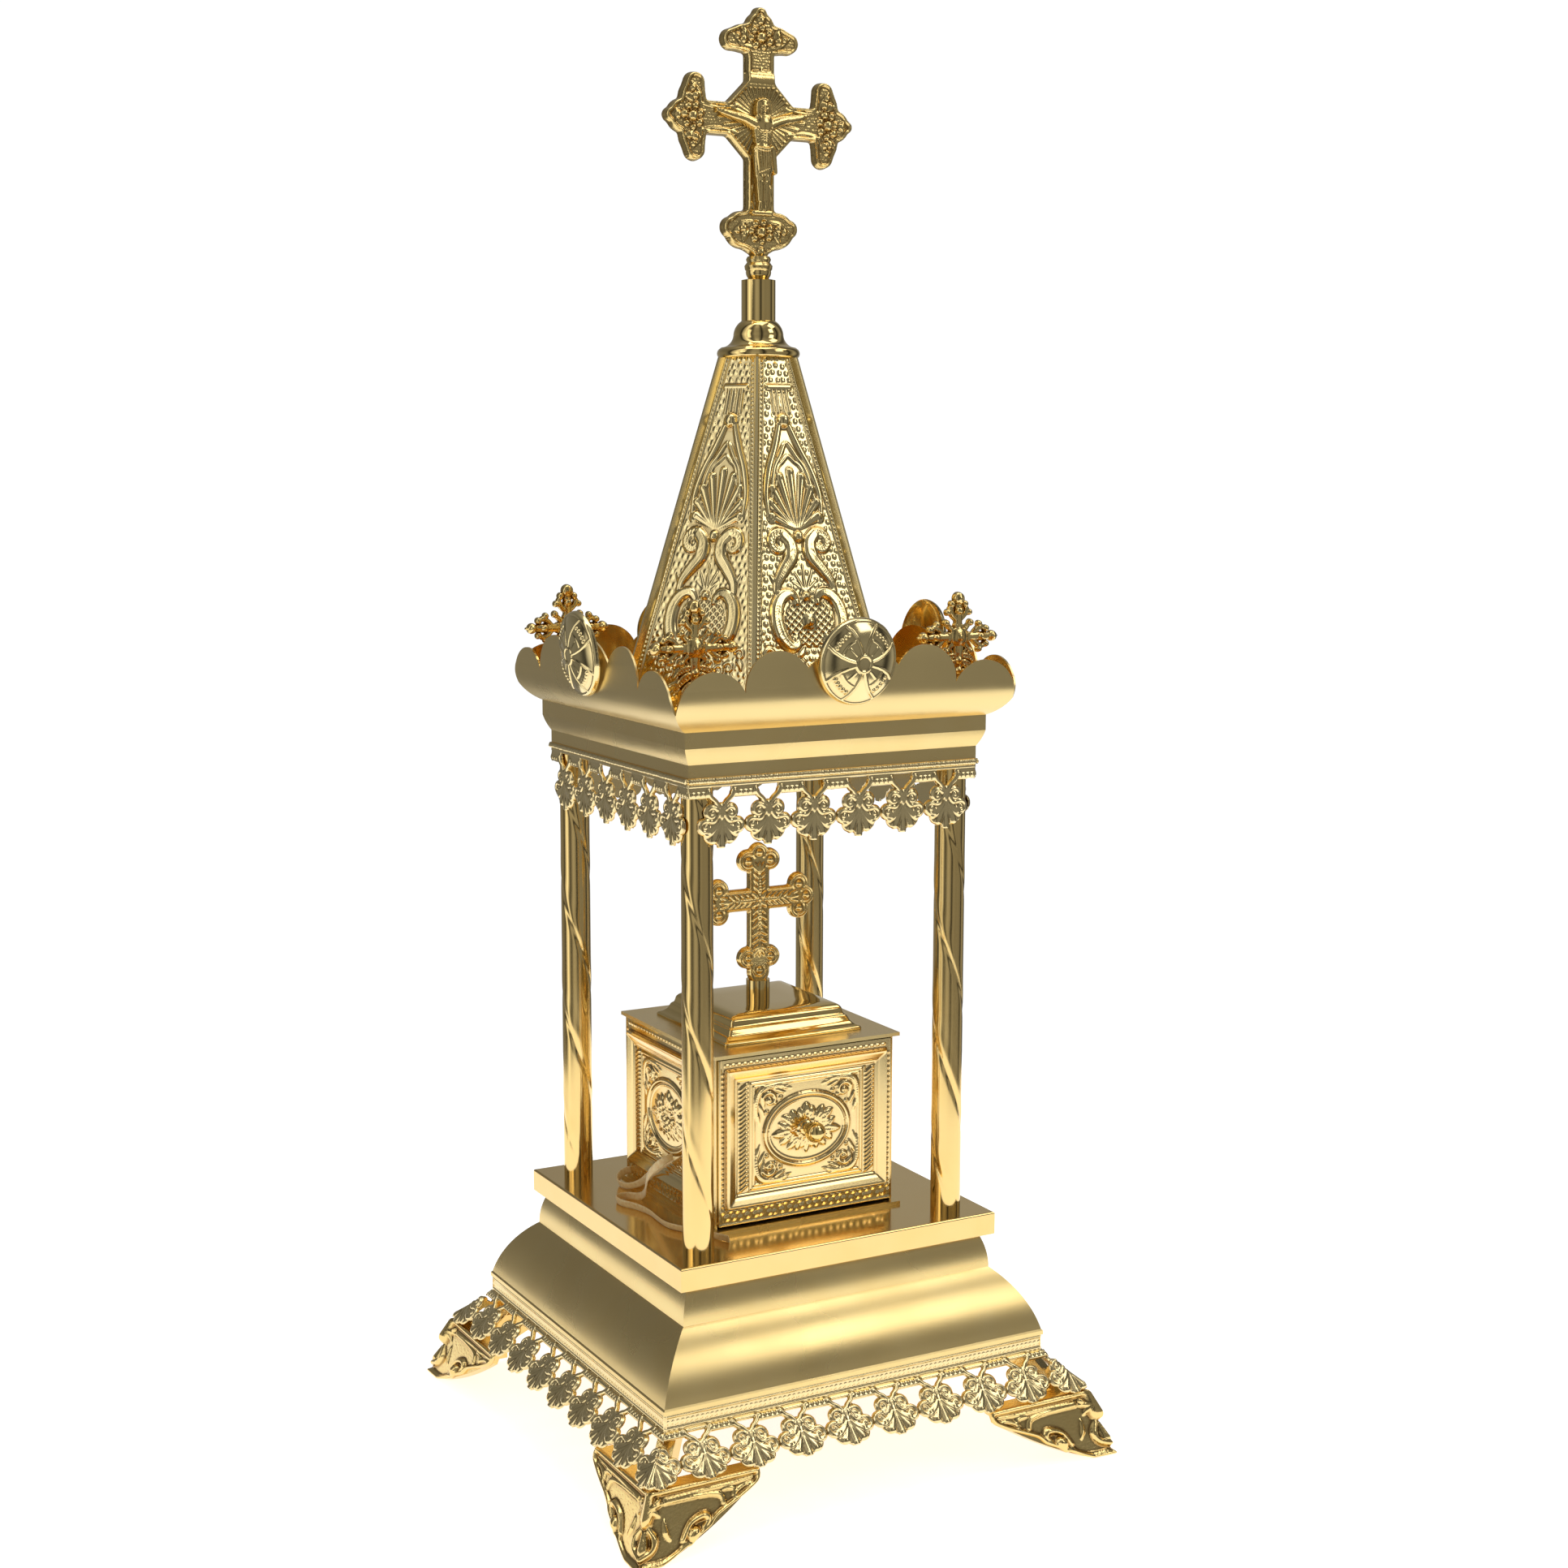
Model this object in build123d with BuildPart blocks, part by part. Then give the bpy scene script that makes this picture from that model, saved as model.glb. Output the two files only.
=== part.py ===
"""Altar tabernacle: a small chest with a drawer under a four-column canopy with a spire.

Frame: millimetres, +Z up, the front (the drawer) towards -Y.  The origin is on the
table top, under the middle of the object, where its upright axis meets the table.
Every piece is a separate solid.  Each has its own file, except that the four medallions,
the four corner crosses, the six seam ribs, the two runners and like fasteners share one.
The sliding drawer is drawer_front, drawer_tray, drawer_knob and drawer_knob_screw; the
rest stands still, with the runners.
"""
import os
from math import atan2, cos, degrees, pi, radians, sin, sqrt, tan

from build123d import *

os.makedirs("parts", exist_ok=True)

# ---------------------------------------------------------------- driving sizes
SHEET = 1.0                # thickness of the brass sheet of plates and mouldings
THIN_SHEET = 0.8           # thickness of the embossed and pierced sheet

FOOT_TOE = 105.0           # half width over the toes of the feet
FOOT_LEDGE = 96.0          # half width over the ledges on top of the feet
FOOT_HEIGHT = 25.0
FOOT_WING = 43.0           # length of each foot along the base

BAND_BOTTOM = 40.2         # lower edge of the straight band of the lower border
MOULDING_BOTTOM = 46.5
MOULDING_HALF = 83.8       # half width of the base moulding at its foot
MOULDING_TOP_HALF = 65.0
PLATE_TOP = 95.5           # the floor that the columns and the chest stand on
PLATE_HALF = 70.0
PLATE_RIM = 9.0            # depth of the plate's turned-down edge

COLUMN_AT = 55.6           # distance of the column axes from the middle, in X and in Y
COLUMN_DIAMETER = 12.0
COLUMN_WALL = 1.0
TIE_ROD_DIAMETER = 5.0

CORNICE_BOTTOM = 276.0
CORNICE_TOP = 295.3
CORNICE_HALF = 65.3
FRIEZE_HALF = 62.6         # half width of the cornice below its ovolo
GALLERY_HALF = 74.6        # half width over the bowl of the scalloped gallery
GALLERY_PEAK = 324.5
MEDALLION_DIAMETER = 33.0
MEDALLION_RISE = 6.5
MEDALLION_LEAN = 6.5       # degrees that the medallions lean out at the top

SPIRE_SIDES = 6
SPIRE_BASE_RADIUS = 59.6   # over the seams
SPIRE_TOP_RADIUS = 14.7
SPIRE_TOP = 432.2
RIB_THICKNESS = 1.2
RIB_HEIGHT = 2.8           # how far the seam ribs stand out of the panels

CAP_RADIUS = 16.2
CAP_STEP_RADIUS = 9.8
SOCKET_RADIUS = 6.65
SOCKET_TOP = 462.0
FINIAL_BOTTOM = 467.4
FINIAL_HEIGHT = 97.0
FINIAL_WIDTH = 82.0

CHEST_HALF_X = 40.0        # outside of the chest's side walls
CHEST_FRONT = -39.5        # front edges of the side walls
CHEST_BACK = 41.0
CHEST_TOP = 166.6
CUSHION_HALF = 31.0
CUSHION_TOP_HALF = 21.5
CUSHION_TOP = 177.0
CHEST_CROSS_TOP = 240.6
CHEST_CROSS_WIDTH = 51.0

DRAWER_HALF = 39.0
DRAWER_GAP = 1.0           # dark gap above and below the drawer front
DRAWER_TRAY_DEPTH = 74.0
DRAWER_TRAVEL = 52.0       # until the lug under the tray meets the stop on the chest's base
DRAWER_TRAY_HEIGHT = 50.0
KNOB_DIAMETER = 7.5
KNOB_REACH = 11.0          # from the drawer's sheet to the front of the knob

SIDES = {"front": 0, "right": 90, "back": 180, "left": 270}
CORNERS = {"front_left": (-1, -1), "front_right": (1, -1), "back_right": (1, 1), "back_left": (-1, 1)}
REACH = 140.0              # longer than half of any straight strip, for cutting tools


# ------------------------------------------------------------------ frame helpers
def outward(turn):
    """Unit direction out of the side at this turn: 0 is the front, 90 the right."""
    return (sin(radians(turn)), -cos(radians(turn)), 0)


def section_plane(turn):
    """Upright cutting plane of a side: local X is the distance outwards, local Y is the height."""
    return Plane(
        origin=(0, 0, 0),
        x_dir=outward(turn),
        z_dir=(-cos(radians(turn)), -sin(radians(turn)), 0),
    )


def face_plane(turn, distance, height=0.0, lean=0.0):
    """Plane facing out of a side, leaning out at the top by this angle: local X runs to the right."""
    out_x, out_y, _ = outward(turn)
    tilt = radians(lean)
    return Plane(
        origin=(out_x * distance, out_y * distance, height),
        x_dir=(cos(radians(turn)), sin(radians(turn)), 0),
        z_dir=(out_x * cos(tilt), out_y * cos(tilt), -sin(tilt)),
    )


def mitre_wedge(turn, half_angle=45.0, apex=0.0):
    """Floor plan of what lies between the two upright mitre planes of a side."""
    half_width = (REACH - apex) * tan(radians(half_angle))
    with BuildSketch() as wedge:
        with BuildLine(Plane.XY.rotated((0, 0, turn))):
            Polyline((0, -apex), (-half_width, -REACH), (half_width, -REACH), close=True)
        make_face()
    return wedge.sketch


def mitre_cut(turn, half_angle=45.0, apex=0.0):
    """Trim the current part to what lies between the two mitre planes of a side."""
    extrude(mitre_wedge(turn, half_angle, apex), amount=2 * FINIAL_BOTTOM, mode=Mode.INTERSECT)


def sheet_section(outline, thickness=SHEET):
    """The band of sheet between an outline and the same outline set back by the thickness."""
    return outline - Pos(-thickness, 0) * outline


def save(piece, label):
    """Label a finished piece and write it to its own file."""
    piece.label = label
    export_step(piece, f"parts/{label}.step")


# ------------------------------------------------------------------------- base
def moulding_outline():
    """Everything inside the base moulding: a small ovolo under the plate, then a large one."""
    step_height = MOULDING_BOTTOM + 26.0
    with BuildSketch() as outline:
        with BuildLine():
            ThreePointArc(
                (MOULDING_TOP_HALF, PLATE_TOP - PLATE_RIM),
                (MOULDING_TOP_HALF + 2.6, PLATE_TOP - PLATE_RIM - 7.0),
                (MOULDING_TOP_HALF + 3.4, step_height),
            )
            Line((MOULDING_TOP_HALF + 3.4, step_height), (MOULDING_TOP_HALF + 4.2, step_height - 0.6))
            ThreePointArc(
                (MOULDING_TOP_HALF + 4.2, step_height - 0.6),
                (MOULDING_HALF - 4.7, MOULDING_BOTTOM + 13.6),
                (MOULDING_HALF, MOULDING_BOTTOM + 2.2),
            )
            Polyline(
                (MOULDING_HALF, MOULDING_BOTTOM + 2.2),
                (MOULDING_HALF + 0.6, MOULDING_BOTTOM + 1.6),
                (MOULDING_HALF + 0.6, MOULDING_BOTTOM),
                (MOULDING_TOP_HALF - 10.0, MOULDING_BOTTOM),
                (MOULDING_TOP_HALF - 10.0, PLATE_TOP - PLATE_RIM),
                (MOULDING_TOP_HALF, PLATE_TOP - PLATE_RIM),
            )
        make_face()
    return outline.sketch


MOULDING_SECTION = sheet_section(moulding_outline())
for side, turn in SIDES.items():
    with BuildPart() as base_moulding:
        with BuildSketch(section_plane(turn)):
            add(MOULDING_SECTION)
        extrude(amount=REACH, both=True)
        mitre_cut(turn)
    save(base_moulding.part, f"base_moulding_{side}")

COLUMN_CENTRES = [(x * COLUMN_AT, y * COLUMN_AT) for x, y in CORNERS.values()]
TIE_ROD_HOLE = TIE_ROD_DIAMETER / 2 + 0.1

with BuildPart() as base_top_plate:
    with BuildSketch(Plane.XY.offset(PLATE_TOP - PLATE_RIM)):
        Rectangle(2 * PLATE_HALF, 2 * PLATE_HALF)
    extrude(amount=PLATE_RIM)
    fillet(base_top_plate.edges().group_by(Axis.Z)[-1], radius=0.8)
    with BuildSketch(Plane.XY.offset(PLATE_TOP - PLATE_RIM)):
        Rectangle(2 * (PLATE_HALF - SHEET), 2 * (PLATE_HALF - SHEET))
    extrude(amount=PLATE_RIM - SHEET, mode=Mode.SUBTRACT)
    with Locations(Plane.XY.offset(PLATE_TOP)):
        with Locations(*COLUMN_CENTRES):
            Hole(radius=TIE_ROD_HOLE, depth=2 * SHEET)
save(base_top_plate.part, "base_top_plate")

# The frame closes the foot of the mouldings and carries the feet.  Its window is
# large enough to reach the nuts of the tie rods.
FRAME_HALF = MOULDING_HALF - SHEET
FRAME_WINDOW_HALF = 62.0
FRAME_THICKNESS = 2.0
LUG_AT = 76.0              # foot screws, from the middle in X and in Y
LUG_TOP = MOULDING_BOTTOM
SCREW_RADIUS = 1.5
SCREW_HEAD_RADIUS = 2.7

with BuildPart() as base_bottom_frame:
    with BuildSketch(Plane.XY.offset(LUG_TOP)):
        Rectangle(2 * FRAME_HALF, 2 * FRAME_HALF)
        Rectangle(2 * FRAME_WINDOW_HALF, 2 * FRAME_WINDOW_HALF, mode=Mode.SUBTRACT)
        with GridLocations(2 * LUG_AT, 2 * LUG_AT, 2, 2):
            Circle(SCREW_RADIUS + 0.1, mode=Mode.SUBTRACT)
    extrude(amount=FRAME_THICKNESS)
save(base_bottom_frame.part, "base_bottom_frame")

# Each foot is one casting: two wings that meet at the corner and run down to the toe,
# a ledge on top, and a lug on the diagonal that is screwed to the frame from inside.
FOOT_WALL = 3.2
FOOT_SLOPE = degrees(atan2(FOOT_TOE - FOOT_LEDGE, FOOT_HEIGHT))
WING_END = FOOT_LEDGE - FOOT_WING
WING_END_HEIGHT = 4.5
TOE_FLAT = 9.0
LEDGE_DEPTH = 6.0
SLANT_HEIGHT = FOOT_HEIGHT / cos(radians(FOOT_SLOPE))
LUG_HALF = 3.5
LUG_THICKNESS = 5.5


def foot_envelope(turn):
    """The corner block that both wings are trimmed to: it spreads from the ledge to the toe."""
    with BuildPart() as envelope:
        for height, half in ((0, FOOT_TOE), (FOOT_HEIGHT, FOOT_LEDGE)):
            with BuildSketch(Plane.XY.offset(height).rotated((0, 0, turn - 45))):
                with Locations((half / 2, -half / 2)):
                    Rectangle(half, half)
        loft()
    return envelope.part


for corner, (corner_x, corner_y) in CORNERS.items():
    turn = degrees(atan2(corner_x, -corner_y))
    with BuildPart() as foot:
        for wing_turn, end_x in ((turn - 45, WING_END), (turn + 45, -WING_END)):
            outer_x = end_x / abs(end_x) * REACH
            toe_x = end_x / abs(end_x) * (FOOT_TOE - TOE_FLAT)
            with BuildSketch(face_plane(wing_turn, FOOT_TOE, 0, -FOOT_SLOPE)):
                with BuildLine():
                    Line((end_x, SLANT_HEIGHT), (end_x, SLANT_HEIGHT - WING_END_HEIGHT))
                    ThreePointArc(
                        (end_x, SLANT_HEIGHT - WING_END_HEIGHT),
                        ((end_x + toe_x) / 2, SLANT_HEIGHT * 0.34),
                        (toe_x, 0),
                    )
                    Polyline((toe_x, 0), (outer_x, 0), (outer_x, SLANT_HEIGHT), (end_x, SLANT_HEIGHT))
                make_face()
            extrude(amount=-FOOT_WALL)
        for ledge_turn, end_x in ((turn - 45, WING_END), (turn + 45, -WING_END)):
            outer_x = end_x / abs(end_x) * FOOT_LEDGE
            with BuildSketch(face_plane(ledge_turn, FOOT_LEDGE, FOOT_HEIGHT)):
                with BuildLine():
                    Polyline(
                        (end_x, 0), (outer_x, 0), (outer_x, -FOOT_WALL), (end_x, -FOOT_WALL), close=True
                    )
                make_face()
            extrude(amount=-LEDGE_DEPTH)
        add(foot_envelope(turn), mode=Mode.INTERSECT)
        with BuildSketch(section_plane(turn)):
            with BuildLine():
                Polyline(
                    (sqrt(2) * (LUG_AT - LUG_HALF), LUG_TOP),
                    (sqrt(2) * (LUG_AT + LUG_HALF), LUG_TOP),
                    (sqrt(2) * (LUG_AT + LUG_HALF), LUG_TOP - LUG_THICKNESS),
                    (sqrt(2) * (FOOT_LEDGE - 5.5), FOOT_HEIGHT),
                    (sqrt(2) * (FOOT_LEDGE - 5.5), FOOT_HEIGHT - 6.0),
                    (sqrt(2) * (FOOT_LEDGE - 10.0), FOOT_HEIGHT - 6.0),
                    (sqrt(2) * (LUG_AT - LUG_HALF), LUG_TOP - LUG_THICKNESS),
                    close=True,
                )
            make_face()
        extrude(amount=LUG_HALF, both=True)
        with Locations((corner_x * LUG_AT, corner_y * LUG_AT, LUG_TOP)):
            Hole(radius=SCREW_RADIUS + 0.1, depth=5.0)
    save(foot.part, f"foot_{corner}")

SCREW_TOP = LUG_TOP + FRAME_THICKNESS
with BuildPart() as foot_screws:
    with BuildSketch(Plane.XY.offset(SCREW_TOP)):
        with GridLocations(2 * LUG_AT, 2 * LUG_AT, 2, 2):
            Circle(SCREW_HEAD_RADIUS)
    extrude(amount=1.8)
    with BuildSketch(Plane.XY.offset(SCREW_TOP)):
        with GridLocations(2 * LUG_AT, 2 * LUG_AT, 2, 2):
            Circle(SCREW_RADIUS)
    extrude(amount=-(FRAME_THICKNESS + 4.5))
save(foot_screws.part, "foot_screws")


# --------------------------------------------------------------- pierced borders
def pendant_row(pitch, centres, half_length, band, drop, tuck=0.0):
    """A strip hanging from y = 0: a narrow edge, beaded links, struts and palmette pendants.

    band is the height of the links below the edge, drop the height of the whole strip and
    tuck how far its edge runs on above y = 0.
    """
    edge = 2.0
    shell_radius = 0.31 * pitch
    with BuildSketch() as strip:
        with Locations((0, (tuck - edge) / 2)):
            Rectangle(2 * half_length, edge + tuck)
        for centre in centres:
            with Locations((centre + pitch / 2, -band / 2), (centre - pitch / 2, -band / 2)):
                Rectangle(0.4 * pitch, band)
            for way in (-1, 1):
                with BuildLine():
                    Polyline(
                        (centre + way * 0.34 * pitch, -band),
                        (centre + way * 0.27 * pitch, -band + 1.2),
                        (centre, -band - 2.4),
                        (centre, -band - 5.0),
                        close=True,
                    )
                make_face()
            with Locations((centre, -drop + shell_radius)):
                Circle(shell_radius)
            with Locations((centre, -(band + drop) / 2)):
                Rectangle(0.22 * pitch, drop - band - 4.0)
            for way in (-1, 1):
                with Locations((centre + way * 0.33 * pitch, -drop + 1.32 * shell_radius)):
                    Circle(0.175 * pitch)
                with Locations((centre + way * 0.22 * pitch, -drop + 2.0 * shell_radius)):
                    Circle(0.14 * pitch)
    return strip.sketch


LOWER_PENDANTS = 8
LOWER_PITCH = 20.4
LOWER_DROP = 20.2          # from the fold to the tips of the shells
LOWER_FLARE = 45.0         # degrees that the pendants stand out from upright
LOWER_LINK = 3.0
UPPER_PENDANTS = 6
UPPER_PITCH = 19.6
UPPER_BAND = 5.7
UPPER_DROP = 24.0


def spread(count, pitch):
    """Centres of a row of things at one pitch, evenly about the middle."""
    return [(index - (count - 1) / 2) * pitch for index in range(count)]


LOWER_STRIP = pendant_row(
    LOWER_PITCH, spread(LOWER_PENDANTS + 2, LOWER_PITCH), REACH, LOWER_LINK, LOWER_DROP, THIN_SHEET
)
for side, turn in SIDES.items():
    with BuildPart() as lower_border:
        with BuildSketch(face_plane(turn, MOULDING_HALF, MOULDING_BOTTOM)):
            with Locations((0, (BAND_BOTTOM - MOULDING_BOTTOM) / 2)):
                Rectangle(2 * REACH, MOULDING_BOTTOM - BAND_BOTTOM)
        extrude(amount=-THIN_SHEET)
        with BuildSketch(face_plane(turn, MOULDING_HALF, BAND_BOTTOM, -LOWER_FLARE)):
            add(LOWER_STRIP)
        extrude(amount=-THIN_SHEET)
        mitre_cut(turn)
    save(lower_border.part, f"lower_border_{side}")

UPPER_HALF = FRIEZE_HALF
UPPER_STRIP = pendant_row(
    UPPER_PITCH, spread(UPPER_PENDANTS, UPPER_PITCH), UPPER_HALF, UPPER_BAND, UPPER_DROP
)
for side, turn in SIDES.items():
    with BuildPart() as upper_border:
        with BuildSketch(face_plane(turn, UPPER_HALF, CORNICE_BOTTOM)):
            add(UPPER_STRIP)
        extrude(amount=-THIN_SHEET)
        mitre_cut(turn)
    save(upper_border.part, f"upper_border_{side}")

# ---------------------------------------------------------- columns and tie rods
CEILING_THICKNESS = 1.5
CEILING_BOTTOM = CORNICE_TOP - CEILING_THICKNESS
NUT_HEIGHT = 4.0
NUT_RADIUS = 4.6           # over the corners
ROD_END = 2.0              # how far the rods stand out of their nuts

for corner, (corner_x, corner_y) in CORNERS.items():
    with BuildPart() as column:
        with BuildSketch(Plane.XY.offset(PLATE_TOP)):
            with Locations((corner_x * COLUMN_AT, corner_y * COLUMN_AT)):
                Circle(COLUMN_DIAMETER / 2)
                Circle(COLUMN_DIAMETER / 2 - COLUMN_WALL, mode=Mode.SUBTRACT)
        extrude(amount=CEILING_BOTTOM - PLATE_TOP)
    save(column.part, f"column_{corner}")

LOWER_NUT_TOP = PLATE_TOP - SHEET
with BuildPart() as tie_rods:
    with BuildSketch(Plane.XY.offset(LOWER_NUT_TOP - NUT_HEIGHT - ROD_END)):
        with Locations(*COLUMN_CENTRES):
            Circle(TIE_ROD_DIAMETER / 2)
    extrude(amount=CORNICE_TOP - LOWER_NUT_TOP + 2 * (NUT_HEIGHT + ROD_END))
save(tie_rods.part, "tie_rods")

with BuildPart() as tie_rod_nuts:
    for bottom in (LOWER_NUT_TOP - NUT_HEIGHT, CORNICE_TOP):
        with BuildSketch(Plane.XY.offset(bottom)):
            with Locations(*COLUMN_CENTRES):
                RegularPolygon(NUT_RADIUS, 6)
                Circle(TIE_ROD_DIAMETER / 2, mode=Mode.SUBTRACT)
        extrude(amount=NUT_HEIGHT)
save(tie_rod_nuts.part, "tie_rod_nuts")

# ----------------------------------------------------------------------- canopy
CEILING_HALF = CORNICE_HALF - SHEET
FINIAL_ROD_DIAMETER = 6.0

with BuildPart() as canopy_ceiling:
    with BuildSketch(Plane.XY.offset(CEILING_BOTTOM)):
        Rectangle(2 * CEILING_HALF, 2 * CEILING_HALF)
        with Locations(*COLUMN_CENTRES):
            Circle(TIE_ROD_HOLE, mode=Mode.SUBTRACT)
        Circle(FINIAL_ROD_DIAMETER / 2 + 0.1, mode=Mode.SUBTRACT)
    extrude(amount=CEILING_THICKNESS)
save(canopy_ceiling.part, "canopy_ceiling")


def cornice_outline():
    """Everything inside the cornice: fascia, ovolo falling back to the frieze, bead at the foot."""
    fascia_foot = CORNICE_TOP - 6.0
    frieze_top = CORNICE_BOTTOM + 7.0
    with BuildSketch() as outline:
        with BuildLine():
            Line((CORNICE_HALF, CORNICE_TOP), (CORNICE_HALF, fascia_foot))
            ThreePointArc(
                (CORNICE_HALF, fascia_foot),
                (CORNICE_HALF - 0.8, (fascia_foot + frieze_top) / 2 + 0.6),
                (FRIEZE_HALF, frieze_top),
            )
            Line((FRIEZE_HALF, frieze_top), (FRIEZE_HALF, CORNICE_BOTTOM + 2.0))
            ThreePointArc(
                (FRIEZE_HALF, CORNICE_BOTTOM + 2.0),
                (FRIEZE_HALF + 0.9, CORNICE_BOTTOM + 1.0),
                (FRIEZE_HALF, CORNICE_BOTTOM),
            )
            Polyline(
                (FRIEZE_HALF, CORNICE_BOTTOM),
                (FRIEZE_HALF - 10.0, CORNICE_BOTTOM),
                (FRIEZE_HALF - 10.0, CORNICE_TOP),
                (CORNICE_HALF, CORNICE_TOP),
            )
        make_face()
    return outline.sketch


def gallery_outline():
    """Everything inside the gallery: it flares out like a bowl, then stands nearly upright."""
    brim = CORNICE_TOP + 15.7
    with BuildSketch() as outline:
        with BuildLine():
            ThreePointArc(
                (CORNICE_HALF, CORNICE_TOP),
                (CORNICE_HALF + 6.3, CORNICE_TOP + 5.3),
                (GALLERY_HALF, brim),
            )
            ThreePointArc(
                (GALLERY_HALF, brim),
                (GALLERY_HALF + 0.1, brim + 6.0),
                (GALLERY_HALF - 0.6, GALLERY_PEAK + 2.0),
            )
            Polyline(
                (GALLERY_HALF - 0.6, GALLERY_PEAK + 2.0),
                (CORNICE_HALF - 15.0, GALLERY_PEAK + 2.0),
                (CORNICE_HALF - 15.0, CORNICE_TOP),
                (CORNICE_HALF, CORNICE_TOP),
            )
        make_face()
    return outline.sketch


CORNICE_SECTION = sheet_section(cornice_outline())
GALLERY_SECTION = sheet_section(gallery_outline(), THIN_SHEET)
CORNER_VALLEY = (72.6, CORNICE_TOP + 7.4)
OUTER_VALLEY = (45.2, CORNICE_TOP + 14.5)
INNER_VALLEY = (19.5, CORNICE_TOP + 22.1)
OUTER_PEAK = (59.0, CORNICE_TOP + 22.4)
INNER_PEAK = (32.0, GALLERY_PEAK)

for side, turn in SIDES.items():
    with BuildPart() as cornice:
        with BuildSketch(section_plane(turn)):
            add(CORNICE_SECTION)
        extrude(amount=REACH, both=True)
        mitre_cut(turn)
    save(cornice.part, f"cornice_{side}")

    with BuildPart() as gallery:
        with BuildSketch(section_plane(turn)):
            add(GALLERY_SECTION)
        extrude(amount=REACH, both=True)
        mitre_cut(turn)
        with BuildSketch(face_plane(turn, 0)):
            with BuildLine():
                for way in (-1, 1):
                    ThreePointArc(
                        (way * CORNER_VALLEY[0], CORNER_VALLEY[1]),
                        (way * OUTER_PEAK[0], OUTER_PEAK[1]),
                        (way * OUTER_VALLEY[0], OUTER_VALLEY[1]),
                    )
                    ThreePointArc(
                        (way * OUTER_VALLEY[0], OUTER_VALLEY[1]),
                        (way * INNER_PEAK[0], INNER_PEAK[1]),
                        (way * INNER_VALLEY[0], INNER_VALLEY[1]),
                    )
                    Polyline(
                        (0, CORNICE_TOP - 1.0),
                        (way * REACH, CORNICE_TOP - 1.0),
                        (way * REACH, CORNER_VALLEY[1]),
                        (way * CORNER_VALLEY[0], CORNER_VALLEY[1]),
                    )
                ThreePointArc(
                    (-INNER_VALLEY[0], INNER_VALLEY[1]), (0, GALLERY_PEAK + 1.0), INNER_VALLEY
                )
            make_face()
        extrude(amount=REACH, mode=Mode.INTERSECT)
    save(gallery.part, f"gallery_{side}")

# Each medallion is a hollow stamped dome; a short stud behind it is soldered to the gallery.
DOME_RADIUS = MEDALLION_DIAMETER / 2
RIM_DISTANCE = GALLERY_HALF + 2.0
MEDALLION_HEIGHT = CORNICE_TOP + 24.4
STUD_RADIUS = 2.5
STUD_REACH = 6.0
with BuildPart() as medallions:
    for turn in SIDES.values():
        rim = face_plane(turn, RIM_DISTANCE, MEDALLION_HEIGHT, MEDALLION_LEAN)
        with BuildSketch(Plane(rim.origin, x_dir=rim.y_dir, z_dir=rim.x_dir)):
            with BuildLine():
                ThreePointArc(
                    (0, MEDALLION_RISE),
                    (DOME_RADIUS * 0.55, MEDALLION_RISE * 0.72),
                    (DOME_RADIUS, THIN_SHEET),
                )
                Polyline((DOME_RADIUS, THIN_SHEET), (DOME_RADIUS, 0), (DOME_RADIUS - 1.2, 0))
                ThreePointArc(
                    (DOME_RADIUS - 1.2, 0),
                    (DOME_RADIUS * 0.52, MEDALLION_RISE * 0.72 - SHEET),
                    (STUD_RADIUS, MEDALLION_RISE - SHEET),
                )
                Polyline(
                    (STUD_RADIUS, MEDALLION_RISE - SHEET),
                    (STUD_RADIUS, -STUD_REACH),
                    (0, -STUD_REACH),
                    (0, MEDALLION_RISE),
                )
            make_face()
        revolve(axis=Axis(rim.origin, rim.z_dir))
    for turn in SIDES.values():
        with BuildSketch(section_plane(turn)):
            add(gallery_outline())
        extrude(amount=REACH, both=True, mode=Mode.SUBTRACT)
save(medallions.part, "medallions")

# ------------------------------------------------------------------------ spire
SECTOR = 360 / SPIRE_SIDES
FLAT_SHARE = cos(radians(SECTOR / 2))      # distance of the flats over distance of the seams

for number in range(SPIRE_SIDES):
    turn = number * SECTOR
    with BuildPart() as spire_panel:
        with BuildSketch(section_plane(turn)):
            with BuildLine():
                Polyline(
                    (FLAT_SHARE * SPIRE_BASE_RADIUS, CORNICE_TOP),
                    (FLAT_SHARE * SPIRE_TOP_RADIUS, SPIRE_TOP),
                    (FLAT_SHARE * SPIRE_TOP_RADIUS - THIN_SHEET, SPIRE_TOP),
                    (FLAT_SHARE * SPIRE_BASE_RADIUS - THIN_SHEET, CORNICE_TOP),
                    close=True,
                )
            make_face()
        extrude(amount=REACH, both=True)
        mitre_cut(turn, SECTOR / 2, RIB_THICKNESS)
    save(spire_panel.part, f"spire_panel_{number + 1}")

with BuildPart() as spire_ribs:
    for number in range(SPIRE_SIDES):
        with BuildSketch(section_plane((number + 0.5) * SECTOR)):
            with BuildLine():
                Polyline(
                    (SPIRE_BASE_RADIUS - 2.0, CORNICE_TOP),
                    (SPIRE_BASE_RADIUS + RIB_HEIGHT, CORNICE_TOP),
                    (SPIRE_TOP_RADIUS + RIB_HEIGHT, SPIRE_TOP),
                    (SPIRE_TOP_RADIUS - 2.0, SPIRE_TOP),
                    close=True,
                )
            make_face()
        extrude(amount=RIB_THICKNESS / 2, both=True)
save(spire_ribs.part, "spire_ribs")

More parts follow.
